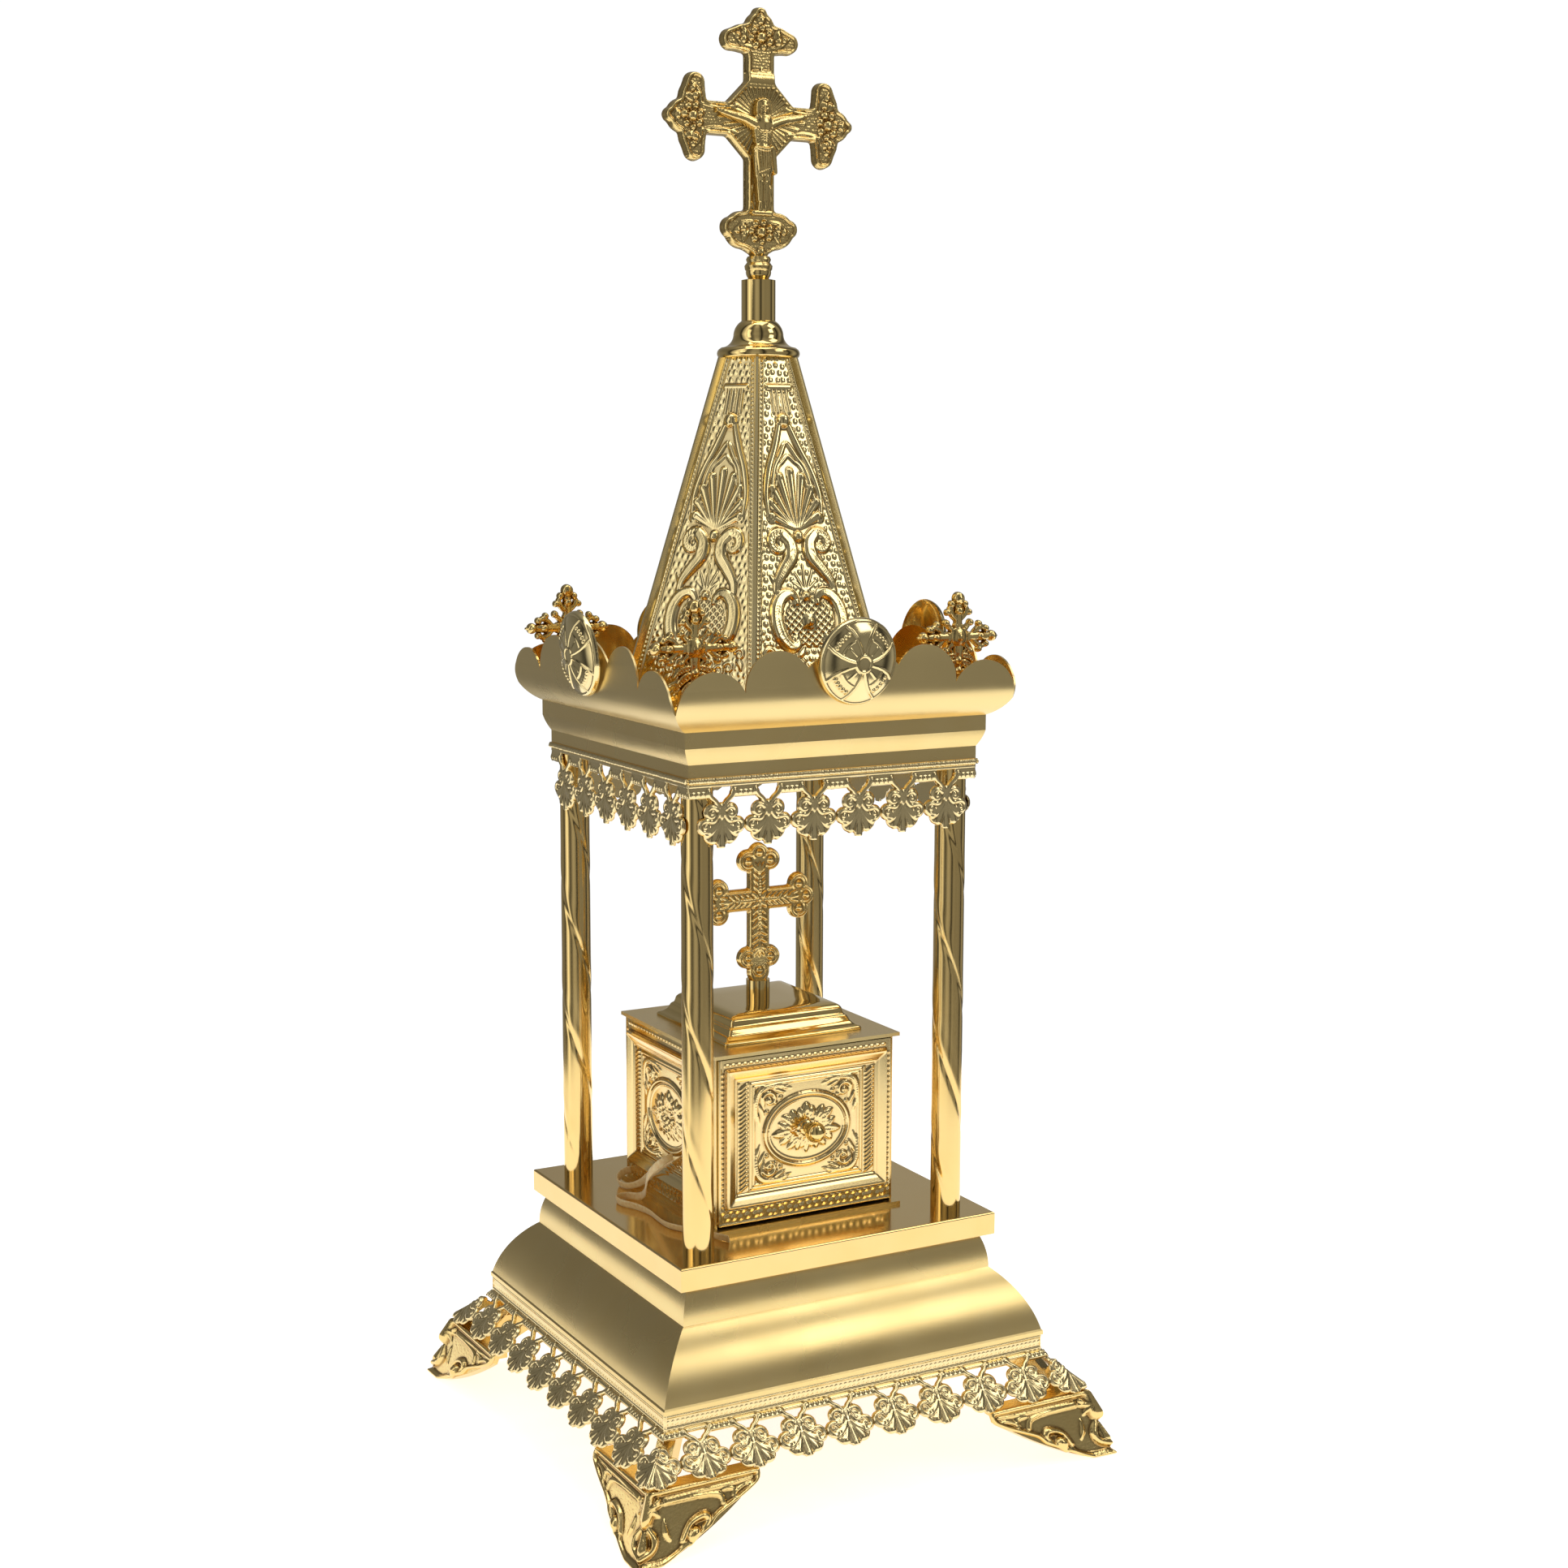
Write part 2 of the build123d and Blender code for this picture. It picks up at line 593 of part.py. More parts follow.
ROD_HOLE = FINIAL_ROD_DIAMETER / 2 + 0.1
CAP_RIM_TOP = SPIRE_TOP + 4.0
CAP_TOP = SPIRE_TOP + 14.2
with BuildPart() as spire_cap:
    with BuildSketch(Plane.XZ):
        with BuildLine():
            Line((ROD_HOLE, SPIRE_TOP), (CAP_RADIUS - 0.8, SPIRE_TOP))
            ThreePointArc(
                (CAP_RADIUS - 0.8, SPIRE_TOP),
                (CAP_RADIUS, SPIRE_TOP + 1.7),
                (CAP_RADIUS - 0.8, SPIRE_TOP + 3.4),
            )
            Line((CAP_RADIUS - 0.8, SPIRE_TOP + 3.4), (CAP_RADIUS - 1.6, CAP_RIM_TOP))
            ThreePointArc(
                (CAP_RADIUS - 1.6, CAP_RIM_TOP),
                (CAP_STEP_RADIUS + 1.4, CAP_RIM_TOP + 1.6),
                (CAP_STEP_RADIUS, CAP_RIM_TOP + 4.6),
            )
            ThreePointArc(
                (CAP_STEP_RADIUS, CAP_RIM_TOP + 4.6),
                (CAP_STEP_RADIUS - 0.9, CAP_TOP - 2.4),
                (SOCKET_RADIUS, CAP_TOP),
            )
            Polyline((SOCKET_RADIUS, CAP_TOP), (ROD_HOLE, CAP_TOP), (ROD_HOLE, SPIRE_TOP))
        make_face()
    revolve(axis=Axis.Z)
save(spire_cap.part, "spire_cap")

ROD_TOP = SOCKET_TOP - 6.0
FINIAL_NUT_RADIUS = 5.6
with BuildPart() as finial_rod:
    with BuildSketch(Plane.XY.offset(CEILING_BOTTOM - NUT_HEIGHT - ROD_END)):
        Circle(FINIAL_ROD_DIAMETER / 2)
    extrude(amount=ROD_TOP - CEILING_BOTTOM + NUT_HEIGHT + ROD_END)
save(finial_rod.part, "finial_rod")

with BuildPart() as finial_nut:
    with BuildSketch(Plane.XY.offset(CEILING_BOTTOM - NUT_HEIGHT)):
        RegularPolygon(FINIAL_NUT_RADIUS, 6)
        Circle(FINIAL_ROD_DIAMETER / 2, mode=Mode.SUBTRACT)
    extrude(amount=NUT_HEIGHT)
save(finial_nut.part, "finial_nut")

KNUCKLE_RADIUS = 4.95
TENON_RADIUS = 3.0
TENON_LENGTH = 4.0
with BuildPart() as finial_socket:
    with BuildSketch(Plane.XZ):
        with BuildLine():
            Polyline(
                (FINIAL_ROD_DIAMETER / 2, CAP_TOP),
                (SOCKET_RADIUS, CAP_TOP),
                (SOCKET_RADIUS, SOCKET_TOP),
                (KNUCKLE_RADIUS - 1.0, SOCKET_TOP + 0.6),
            )
            ThreePointArc(
                (KNUCKLE_RADIUS - 1.0, SOCKET_TOP + 0.6),
                (KNUCKLE_RADIUS, (SOCKET_TOP + 0.6 + FINIAL_BOTTOM) / 2),
                (KNUCKLE_RADIUS - 1.0, FINIAL_BOTTOM),
            )
            Polyline(
                (KNUCKLE_RADIUS - 1.0, FINIAL_BOTTOM),
                (TENON_RADIUS, FINIAL_BOTTOM),
                (TENON_RADIUS, FINIAL_BOTTOM - TENON_LENGTH),
                (0, FINIAL_BOTTOM - TENON_LENGTH),
                (0, ROD_TOP),
                (FINIAL_ROD_DIAMETER / 2, ROD_TOP),
                (FINIAL_ROD_DIAMETER / 2, CAP_TOP),
            )
        make_face()
    revolve(axis=Axis.Z)
save(finial_socket.part, "finial_socket")


# ---------------------------------------------------------------------- crosses
def budded_cross(width, height, crossing, shaft, arm, lobe):
    """Outline of a cross whose four ends each carry three buds; crossing is the height of the arms."""
    bud = 0.5 * lobe
    with BuildSketch() as outline:
        with Locations((0, height / 2)):
            Rectangle(shaft, height - lobe)
        with Locations((0, crossing)):
            Rectangle(width - lobe, arm)
        ends = (
            (0, height, 0, -1),
            (0, 0, 0, 1),
            (-width / 2, crossing, 1, 0),
            (width / 2, crossing, -1, 0),
        )
        for tip_x, tip_y, in_x, in_y in ends:
            middle = (tip_x + in_x * 1.15 * bud, tip_y + in_y * 1.15 * bud)
            with Locations((tip_x + in_x * bud * 0.85, tip_y + in_y * bud * 0.85)):
                Circle(0.85 * bud)
            for way in (-1, 1):
                with Locations((middle[0] + way * in_y * 0.95 * bud, middle[1] + way * in_x * 0.95 * bud)):
                    Circle(0.78 * bud)
    return outline.sketch


FINIAL_CROSSING = 54.5     # height of the arms above the foot of the cross
FINIAL_THICKNESS = 4.0
RAY_HALF = 15.0
with BuildPart() as finial_cross:
    with BuildSketch(face_plane(0, 0, FINIAL_BOTTOM)):
        add(budded_cross(FINIAL_WIDTH, FINIAL_HEIGHT, FINIAL_CROSSING, 12.2, 13.5, 17.0))
        with Locations((0, FINIAL_CROSSING)):
            Rectangle(RAY_HALF * sqrt(2), RAY_HALF * sqrt(2), rotation=45)
    extrude(amount=FINIAL_THICKNESS / 2, both=True)
    with BuildSketch(Plane.XY.offset(FINIAL_BOTTOM + 3.0)):
        Circle(TENON_RADIUS)
    extrude(amount=-(TENON_LENGTH + 3.0))
save(finial_cross.part, "finial_cross")

# The legs of the four corner crosses stand on the ends of the tie rods.
CORNER_CROSS_AT = 57.2
CORNER_CROSS_CENTRE = CORNICE_TOP + 29.9
CORNER_CROSS_WIDTH = 36.0
CORNER_CROSS_RISE = 17.0
CORNER_CROSS_FALL = 14.0       # from its centre down to the ball on its leg
CORNER_BALL = 2.6
CORNER_BOSS = 5.0
CORNER_BAR = 4.2               # width of its arms
CORNER_CROSSBAR = (3.0, 9.5)   # width and length of the small bars across its arms
TIE_ROD_TOP = CORNICE_TOP + NUT_HEIGHT + ROD_END
CROSS_CENTRES = [(x * CORNER_CROSS_AT, y * CORNER_CROSS_AT) for x, y in CORNERS.values()]
BALL_PLACES = (
    (0, CORNER_CROSS_RISE - CORNER_BALL),
    (CORNER_CROSS_WIDTH / 2 - CORNER_BALL, 0),
    (CORNER_BALL - CORNER_CROSS_WIDTH / 2, 0),
    (0, -CORNER_CROSS_FALL),
)
with BuildPart() as corner_crosses:
    for cross_x, cross_y in CROSS_CENTRES:
        with BuildSketch(face_plane(0, -cross_y, CORNER_CROSS_CENTRE)):
            with Locations((cross_x, 0)):
                Circle(CORNER_BOSS)
                Rectangle(CORNER_CROSS_WIDTH - 4.0, CORNER_BAR)
            with Locations((cross_x, (CORNER_CROSS_RISE - 2.0 - CORNER_CROSS_FALL) / 2)):
                Rectangle(CORNER_BAR, CORNER_CROSS_RISE - 2.0 + CORNER_CROSS_FALL)
            with Locations((cross_x - 11, 0), (cross_x + 11, 0)):
                Rectangle(*CORNER_CROSSBAR)
            with Locations((cross_x, 9.5)):
                Rectangle(CORNER_CROSSBAR[1], CORNER_CROSSBAR[0])
        extrude(amount=1.3, both=True)
        for ball_x, ball_z in BALL_PLACES:
            with Locations((cross_x + ball_x, cross_y, CORNER_CROSS_CENTRE + ball_z)):
                Sphere(CORNER_BALL)
    with BuildSketch(Plane.XY.offset(TIE_ROD_TOP)):
        with Locations(*CROSS_CENTRES):
            Circle(1.3)
    extrude(amount=CORNER_CROSS_CENTRE - TIE_ROD_TOP)
save(corner_crosses.part, "corner_crosses")

# ------------------------------------------------------------------------ chest
CHEST_BASE_TOP = PLATE_TOP + 1.4
CHEST_TOP_THICKNESS = 1.4
CHEST_CEILING = CHEST_TOP - CHEST_TOP_THICKNESS
CHEST_TOP_HALF_X = 41.5
CHEST_TOP_FRONT = -42.6
CHEST_BASE_HALF_X = 41.8
CHEST_BASE_FRONT = -43.6
DRAWER_FLOOR = CHEST_BASE_TOP + 2.6
STOP_WIDTH = 16.0
STOP_THICKNESS = 1.5
STOP_HEIGHT = 1.7
STOP_CLEARANCE = 0.2
LUG_FRONT = 32.2           # front of the lug under the tray's tail, with the drawer shut

with BuildPart() as chest_base:
    with BuildSketch(Plane.XY.offset(PLATE_TOP)):
        with Locations((0, (CHEST_BASE_FRONT + CHEST_BACK + 2.0) / 2)):
            Rectangle(2 * CHEST_BASE_HALF_X, CHEST_BACK + 2.0 - CHEST_BASE_FRONT)
    extrude(amount=CHEST_BASE_TOP - PLATE_TOP)
    with BuildSketch(Plane.XY.offset(CHEST_BASE_TOP)):
        with Locations((0, LUG_FRONT - DRAWER_TRAVEL - STOP_CLEARANCE - STOP_THICKNESS / 2)):
            Rectangle(STOP_WIDTH, STOP_THICKNESS)
    extrude(amount=STOP_HEIGHT)
save(chest_base.part, "chest_base")

with BuildPart() as chest_case:
    with BuildSketch(Plane.XY.offset(CHEST_BASE_TOP)):
        with Locations((0, (CHEST_FRONT + CHEST_BACK) / 2)):
            Rectangle(2 * CHEST_HALF_X, CHEST_BACK - CHEST_FRONT)
        with Locations((0, (CHEST_FRONT + CHEST_BACK) / 2 - THIN_SHEET)):
            Rectangle(
                2 * (CHEST_HALF_X - THIN_SHEET), CHEST_BACK - CHEST_FRONT, mode=Mode.SUBTRACT
            )
    extrude(amount=CHEST_CEILING - CHEST_BASE_TOP)
save(chest_case.part, "chest_case")

with BuildPart() as chest_top_plate:
    with BuildSketch(Plane.XY.offset(CHEST_CEILING)):
        with Locations((0, (CHEST_TOP_FRONT + CHEST_BACK + 1.5) / 2)):
            Rectangle(2 * CHEST_TOP_HALF_X, CHEST_BACK + 1.5 - CHEST_TOP_FRONT)
    extrude(amount=CHEST_TOP_THICKNESS)
save(chest_top_plate.part, "chest_top_plate")


def cushion_section(setback):
    """Half section of the pressed cushion of the lid: a narrow foot, a cyma, a nearly flat top."""
    foot = CUSHION_HALF - setback
    top_half = CUSHION_TOP_HALF - setback
    top = CUSHION_TOP - setback
    with BuildSketch() as outline:
        with BuildLine():
            Polyline((0, CHEST_TOP), (foot, CHEST_TOP), (foot, CHEST_TOP + 1.2))
            ThreePointArc(
                (foot, CHEST_TOP + 1.2),
                (foot - 3.4, CHEST_TOP + 3.4),
                (foot - 5.2, (CHEST_TOP + top) / 2 + 0.6),
            )
            ThreePointArc(
                (foot - 5.2, (CHEST_TOP + top) / 2 + 0.6),
                (foot - 6.6, top - 1.6),
                (top_half, top),
            )
            Polyline((top_half, top), (0, top), (0, CHEST_TOP))
        make_face()
    return outline.sketch


def cushion_block(setback):
    """The cushion as a solid block: its half section run along each side and mitred."""
    with BuildPart() as block:
        for turn in SIDES.values():
            with BuildPart(mode=Mode.PRIVATE) as quarter:
                with BuildSketch(section_plane(turn)):
                    add(cushion_section(setback))
                extrude(amount=REACH, both=True)
                mitre_cut(turn)
            add(quarter.part)
    return block.part


SMALL_SOCKET_RADIUS = 4.8
SMALL_SOCKET_TOP = CUSHION_TOP + 7.4
CUSHION_SCREW_RADIUS = 1.5
with BuildPart() as chest_cushion:
    add(cushion_block(0))
    add(cushion_block(SHEET), mode=Mode.SUBTRACT)
    with Locations(Plane.XY.offset(CUSHION_TOP)):
        Hole(radius=CUSHION_SCREW_RADIUS + 0.05, depth=2 * SHEET)
save(chest_cushion.part, "chest_cushion")

with BuildPart() as chest_cross_socket:
    with BuildSketch(Plane.XY.offset(CUSHION_TOP)):
        Circle(SMALL_SOCKET_RADIUS)
    extrude(amount=SMALL_SOCKET_TOP - CUSHION_TOP)
    with BuildSketch(Plane.XY.offset(CUSHION_TOP)):
        Circle(CUSHION_SCREW_RADIUS)
    extrude(amount=-SHEET)
    with BuildSketch(Plane.XY.offset(CUSHION_TOP - SHEET)):
        RegularPolygon(3.2, 6)
    extrude(amount=-2.4)
    with BuildSketch(Plane.XY.offset(SMALL_SOCKET_TOP)):
        Rectangle(5.0, 2.6)
    extrude(amount=-4.0, mode=Mode.SUBTRACT)
save(chest_cross_socket.part, "chest_cross_socket")

CHEST_CROSS_HEIGHT = CHEST_CROSS_TOP - SMALL_SOCKET_TOP
CHEST_CROSS_CROSSING = 33.0
with BuildPart() as chest_cross:
    with BuildSketch(face_plane(0, 0, SMALL_SOCKET_TOP)):
        add(budded_cross(CHEST_CROSS_WIDTH, CHEST_CROSS_HEIGHT, CHEST_CROSS_CROSSING, 9.6, 9.6, 11.0))
        with Locations((0, -1.5)):
            Rectangle(5.0, 5.0)
    extrude(amount=1.3, both=True)
save(chest_cross.part, "chest_cross")

# ----------------------------------------------------------------------- drawer
DRAWER_FRONT_BOTTOM = CHEST_BASE_TOP + DRAWER_GAP
DRAWER_FRONT_TOP = CHEST_CEILING - DRAWER_GAP
DRAWER_SHEET_BACK = CHEST_FRONT - 0.3
DRAWER_SHEET_FRONT = DRAWER_SHEET_BACK - THIN_SHEET
DRAWER_MIDDLE = 132.4
TRAY_HALF = 37.2
RAIL_TOP = DRAWER_FLOOR - 0.2

with BuildPart() as drawer_runners:
    for way in (-1, 1):
        wall = CHEST_HALF_X - THIN_SHEET
        with BuildSketch(Plane.XZ.offset(-CHEST_FRONT - 1.5)):
            with BuildLine():
                Polyline(
                    (way * wall, RAIL_TOP - 1.0),
                    (way * wall, RAIL_TOP + 6.0),
                    (way * (wall - 0.8), RAIL_TOP + 6.0),
                    (way * (wall - 0.8), RAIL_TOP),
                    (way * (wall - 5.0), RAIL_TOP),
                    (way * (wall - 5.0), RAIL_TOP - 1.0),
                    close=True,
                )
            make_face()
        extrude(amount=-(CHEST_BACK - CHEST_FRONT - 4.0))
save(drawer_runners.part, "drawer_runners")

FRAME_OUTER = (35.6, 27.5)     # half width and half height of the raised frame on the drawer
FRAME_INNER = (31.2, 22.8)
ROPE_AT = 28.3
OVAL = (18.7, 14.2)
with BuildPart() as drawer_front:
    front_middle = face_plane(0, -DRAWER_SHEET_FRONT, DRAWER_MIDDLE)
    with BuildSketch(face_plane(0, -DRAWER_SHEET_FRONT, (DRAWER_FRONT_BOTTOM + DRAWER_FRONT_TOP) / 2)):
        Rectangle(2 * DRAWER_HALF, DRAWER_FRONT_TOP - DRAWER_FRONT_BOTTOM)
    extrude(amount=-THIN_SHEET)
    with BuildSketch(front_middle):
        Rectangle(2 * FRAME_OUTER[0], 2 * FRAME_OUTER[1])
        Rectangle(2 * FRAME_INNER[0], 2 * FRAME_INNER[1], mode=Mode.SUBTRACT)
    extrude(amount=1.2)
    with BuildSketch(front_middle):
        with Locations((-ROPE_AT, 0), (ROPE_AT, 0)):
            Rectangle(3.2, 2 * FRAME_INNER[1])
    extrude(amount=1.0)
    with BuildSketch(front_middle):
        Ellipse(OVAL[0], OVAL[1])
        Ellipse(OVAL[0] - 1.8, OVAL[1] - 1.8, mode=Mode.SUBTRACT)
    extrude(amount=1.0)
    with Locations(Plane(front_middle.origin, x_dir=(1, 0, 0), z_dir=(0, -1, 0))):
        Hole(radius=1.6, depth=2 * THIN_SHEET)
save(drawer_front.part, "drawer_front")

with BuildPart() as drawer_tray:
    tray_front = DRAWER_SHEET_BACK
    with BuildSketch(Plane.XY.offset(DRAWER_FLOOR)):
        with Locations((0, tray_front + DRAWER_TRAY_DEPTH / 2)):
            Rectangle(2 * TRAY_HALF, DRAWER_TRAY_DEPTH)
    extrude(amount=DRAWER_TRAY_HEIGHT)
    with BuildSketch(Plane.XY.offset(DRAWER_FLOOR + THIN_SHEET)):
        with Locations((0, tray_front + DRAWER_TRAY_DEPTH / 2)):
            Rectangle(2 * (TRAY_HALF - THIN_SHEET), DRAWER_TRAY_DEPTH - 2 * THIN_SHEET)
    extrude(amount=DRAWER_TRAY_HEIGHT, mode=Mode.SUBTRACT)
    with BuildSketch(face_plane(0, -tray_front, DRAWER_MIDDLE)):
        Circle(3.0)
    extrude(amount=-THIN_SHEET, mode=Mode.SUBTRACT)
    with BuildSketch(Plane.XY.offset(DRAWER_FLOOR)):
        with Locations((0, LUG_FRONT + THIN_SHEET / 2)):
            Rectangle(STOP_WIDTH - 4.0, THIN_SHEET)
    extrude(amount=-(DRAWER_FLOOR - CHEST_BASE_TOP - 0.4))
save(drawer_tray.part, "drawer_tray")

KNOB_RADIUS = KNOB_DIAMETER / 2
KNOB_SCREW_RADIUS = 1.2
KNOB_STEM_RADIUS = 1.7
with BuildPart() as drawer_knob:
    knob_centre = DRAWER_SHEET_FRONT - KNOB_REACH + KNOB_RADIUS
    with Locations((0, knob_centre, DRAWER_MIDDLE)):
        Sphere(KNOB_RADIUS)
    with BuildSketch(face_plane(0, -DRAWER_SHEET_FRONT, DRAWER_MIDDLE)):
        Circle(2.9)
    extrude(amount=1.2)
    with BuildSketch(face_plane(0, -DRAWER_SHEET_FRONT, DRAWER_MIDDLE)):
        Circle(KNOB_STEM_RADIUS)
    extrude(amount=KNOB_REACH - KNOB_RADIUS)
    with BuildSketch(face_plane(0, -DRAWER_SHEET_FRONT, DRAWER_MIDDLE)):
        Circle(KNOB_SCREW_RADIUS)
    extrude(amount=4.0, mode=Mode.SUBTRACT)
save(drawer_knob.part, "drawer_knob")

with BuildPart() as drawer_knob_screw:
    with BuildSketch(face_plane(0, -DRAWER_SHEET_BACK, DRAWER_MIDDLE)):
        Circle(KNOB_SCREW_RADIUS)
    extrude(amount=THIN_SHEET + 3.8)
    with BuildSketch(face_plane(0, -DRAWER_SHEET_BACK, DRAWER_MIDDLE)):
        Circle(2.6)
    extrude(amount=-1.8)
save(drawer_knob_screw.part, "drawer_knob_screw")

# ------------------------------------------------------------------- key ribbon
# It leaves the chest's left wall near the back, stands in a loop that leans on that wall,
# turns over on the plate and runs forwards along it to its cut end.
RIBBON_WIDTH = 3.0
RIBBON_LIES = PLATE_TOP + RIBBON_WIDTH / 2 + 0.05
RIBBON_ROUTE = [
    (-CHEST_HALF_X, 37.0, 100.0),
    (-45.6, 37.0, 100.0),
    (-49.4, 31.5, RIBBON_LIES),
    (-46.6, 24.5, RIBBON_LIES),
    (-43.8, 17.0, 100.6),
    (-43.2, 10.5, 106.4),
    (-43.2, 3.0, 111.6),
    (-43.2, -4.5, 115.6),
    (-43.6, -10.2, 118.4),
    (-46.8, -14.4, 120.2),
    (-51.0, -12.8, 117.2),
    (-50.0, -8.6, 110.6),
    (-49.4, -2.6, 105.4),
    (-48.6, 4.0, 100.0),
    (-48.2, 9.6, RIBBON_LIES),
    (-50.8, 14.4, RIBBON_LIES),
    (-55.8, 13.4, RIBBON_LIES),
    (-56.4, 8.0, RIBBON_LIES),
    (-53.4, 1.0, RIBBON_LIES),
    (-52.0, -8.0, RIBBON_LIES),
    (-55.0, -17.5, RIBBON_LIES),
    (-56.2, -26.5, RIBBON_LIES),
    (-51.6, -33.0, RIBBON_LIES),
    (-46.0, -38.5, RIBBON_LIES),
    (-43.4, -45.5, RIBBON_LIES),
    (-40.6, -52.0, RIBBON_LIES),
]


def corner_radii(route):
    """Radius of the arc at each corner of a route, as large as its two runs allow."""
    radii = []
    for before, corner, after in zip(route, route[1:], route[2:]):
        arriving = Vector(*corner) - Vector(*before)
        leaving = Vector(*after) - Vector(*corner)
        half_turn = radians(arriving.get_angle(leaving)) / 2
        radii.append(0.45 * min(arriving.length, leaving.length) / tan(half_turn))
    return radii


RIBBON_RADII = corner_radii(RIBBON_ROUTE)
print("ribbon radii", [round(radius, 1) for radius in RIBBON_RADII])
with BuildPart() as key_ribbon:
    with BuildLine():
        ribbon_line = FilletPolyline(*RIBBON_ROUTE, radius=RIBBON_RADII)
    with BuildSketch(Plane(origin=ribbon_line @ 0, z_dir=ribbon_line % 0)):
        Circle(RIBBON_WIDTH / 2)
    sweep()
save(key_ribbon.part, "key_ribbon")
RIBBON_LENGTH = ribbon_line.length
RIBBON_VOLUME = RIBBON_LENGTH * RIBBON_WIDTH**2 * pi / 4
print(f"ribbon length {RIBBON_LENGTH:.1f}, volume {key_ribbon.part.volume:.1f} of {RIBBON_VOLUME:.1f}")
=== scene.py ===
"""Looks of the altar tabernacle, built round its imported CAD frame.

Ornament is laid on height maps ("canvases") in millimetres: x runs across a sheet, y up it
and h out of it.  plate() turns a canvas into a closed mesh in metres, in the CAD's frame.
"""
from math import cos, pi, radians, sin, sqrt

import bpy
import numpy as np
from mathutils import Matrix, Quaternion, Vector


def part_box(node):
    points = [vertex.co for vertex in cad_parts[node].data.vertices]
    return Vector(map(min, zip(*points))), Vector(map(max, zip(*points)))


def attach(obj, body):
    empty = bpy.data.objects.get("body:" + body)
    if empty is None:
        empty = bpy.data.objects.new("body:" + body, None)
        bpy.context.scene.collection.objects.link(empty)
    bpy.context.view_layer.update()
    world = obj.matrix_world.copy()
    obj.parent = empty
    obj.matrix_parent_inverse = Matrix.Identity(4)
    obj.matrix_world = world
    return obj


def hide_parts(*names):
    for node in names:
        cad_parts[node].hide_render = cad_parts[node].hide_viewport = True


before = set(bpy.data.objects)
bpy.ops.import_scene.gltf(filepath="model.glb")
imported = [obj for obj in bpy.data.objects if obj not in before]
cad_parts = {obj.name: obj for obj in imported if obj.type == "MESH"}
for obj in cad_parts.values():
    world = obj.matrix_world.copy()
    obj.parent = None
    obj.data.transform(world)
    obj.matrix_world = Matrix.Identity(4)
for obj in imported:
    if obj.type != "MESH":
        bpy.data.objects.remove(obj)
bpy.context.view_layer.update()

MM = 0.001
SIDES = {"front": 0, "right": 90, "back": 180, "left": 270}
CORNERS = {"front_left": 0, "front_right": 90, "back_right": 180, "back_left": 270}
VOID = -99.0                    # stands for "nothing here" in a height map or an outline

# Sizes that part.py sets and no node's box gives, in millimetres.
FINIAL_FOOT = 467.4
FINIAL_ARMS = 54.5              # height of the finial's arms above its foot
CHEST_CROSS_FOOT = 184.4
CHEST_CROSS_ARMS = 33.0
CORNER_CROSS_HEIGHT = 325.2     # middle of the corner crosses
CORNER_CROSS_AT = 57.2          # their distance from the middle, in X and in Y
MEDALLION_RADIUS, MEDALLION_RISE, MEDALLION_LEAN = 16.5, 6.5, radians(6.5)
FOOT_LEDGE, FOOT_RISE = 96.0, 25.0
FOOT_SLOPE, FOOT_WING = 26.6, 47.1      # the drawn size of one wing of a foot
LOWER_BAND = 6.3                # height of the lower border's upright band
DRAWER_HALF, DRAWER_BOTTOM, DRAWER_TOP, DRAWER_OUT = 39.0, 97.9, 164.2, 40.6
DRAWER_OVAL, CASE_OVAL = 132.4, 132.0   # heights of the ovals' middles
RIBBON_LIES = 97.05             # height of the ribbon's middle where it lies on the plate
ROPE_OUT, ROPE_HALF = 63.35, 62.9


# ------------------------------------------------------------------ sizes from the frame
def vertices(node):
    """The corner points of a CAD node, in millimetres."""
    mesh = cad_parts[node].data
    flat = np.empty(len(mesh.vertices) * 3)
    mesh.vertices.foreach_get("co", flat)
    return flat.reshape(-1, 3) / MM


def box_mm(node):
    """The lowest and highest corners of a CAD node, in millimetres."""
    low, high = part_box(node)
    return np.array(low) / MM, np.array(high) / MM


def level(node, height):
    """Distance of a node's front face from the axis at this height, where it has corner points."""
    points = vertices(node)
    return -points[abs(points[:, 2] - height) < 0.05, 1].min()


# ------------------------------------------------------------------------------- curves
def smooth(points, steps=8):
    """A line through the given points, rounded between them."""
    p = np.array([points[0], *points, points[-1]], float)
    t = np.linspace(0, 1, steps, endpoint=False)[:, None]
    runs = []
    for a, b, c, d in zip(p, p[1:], p[2:], p[3:]):
        runs.append(0.5 * (2 * b + (c - a) * t + (2 * a - 5 * b + 4 * c - d) * t**2
                           + (3 * b - a - 3 * c + d) * t**3))
    return np.vstack([*runs, p[-1:]])


def arc(x, y, radius, start, end, steps=14, squash=1.0):
    """Part of a circle or, squashed, of an ellipse; the angles are in degrees."""
    a = np.radians(np.linspace(start, end, steps))
    return np.column_stack([x + radius * np.cos(a), y + squash * radius * np.sin(a)])


def volute(x, y, radius, start, turns, hand=1, steps=22):
    """A spiral from its outer end, at this angle, in to its eye."""
    share = np.linspace(0, 1, steps)
    a = np.radians(start) + hand * 2 * pi * turns * share
    r = radius * (1 - 0.8 * share)
    return np.column_stack([x + r * np.cos(a), y + r * np.sin(a)])


def mirrored(line):
    """The same line on the other side of x = 0."""
    return np.array(line, float) * (-1, 1)


def polar(radius, degrees, x=0.0, y=0.0):
    """The point at a distance and an angle from x, y."""
    a = radians(degrees)
    return x + radius * cos(a), y + radius * sin(a)


def ridge(offset, half, rise=1.0):
    """The rounded section of a ridge, so far from its middle line."""
    return rise * np.sqrt(np.clip(1 - (offset / half) ** 2, 0, 1))


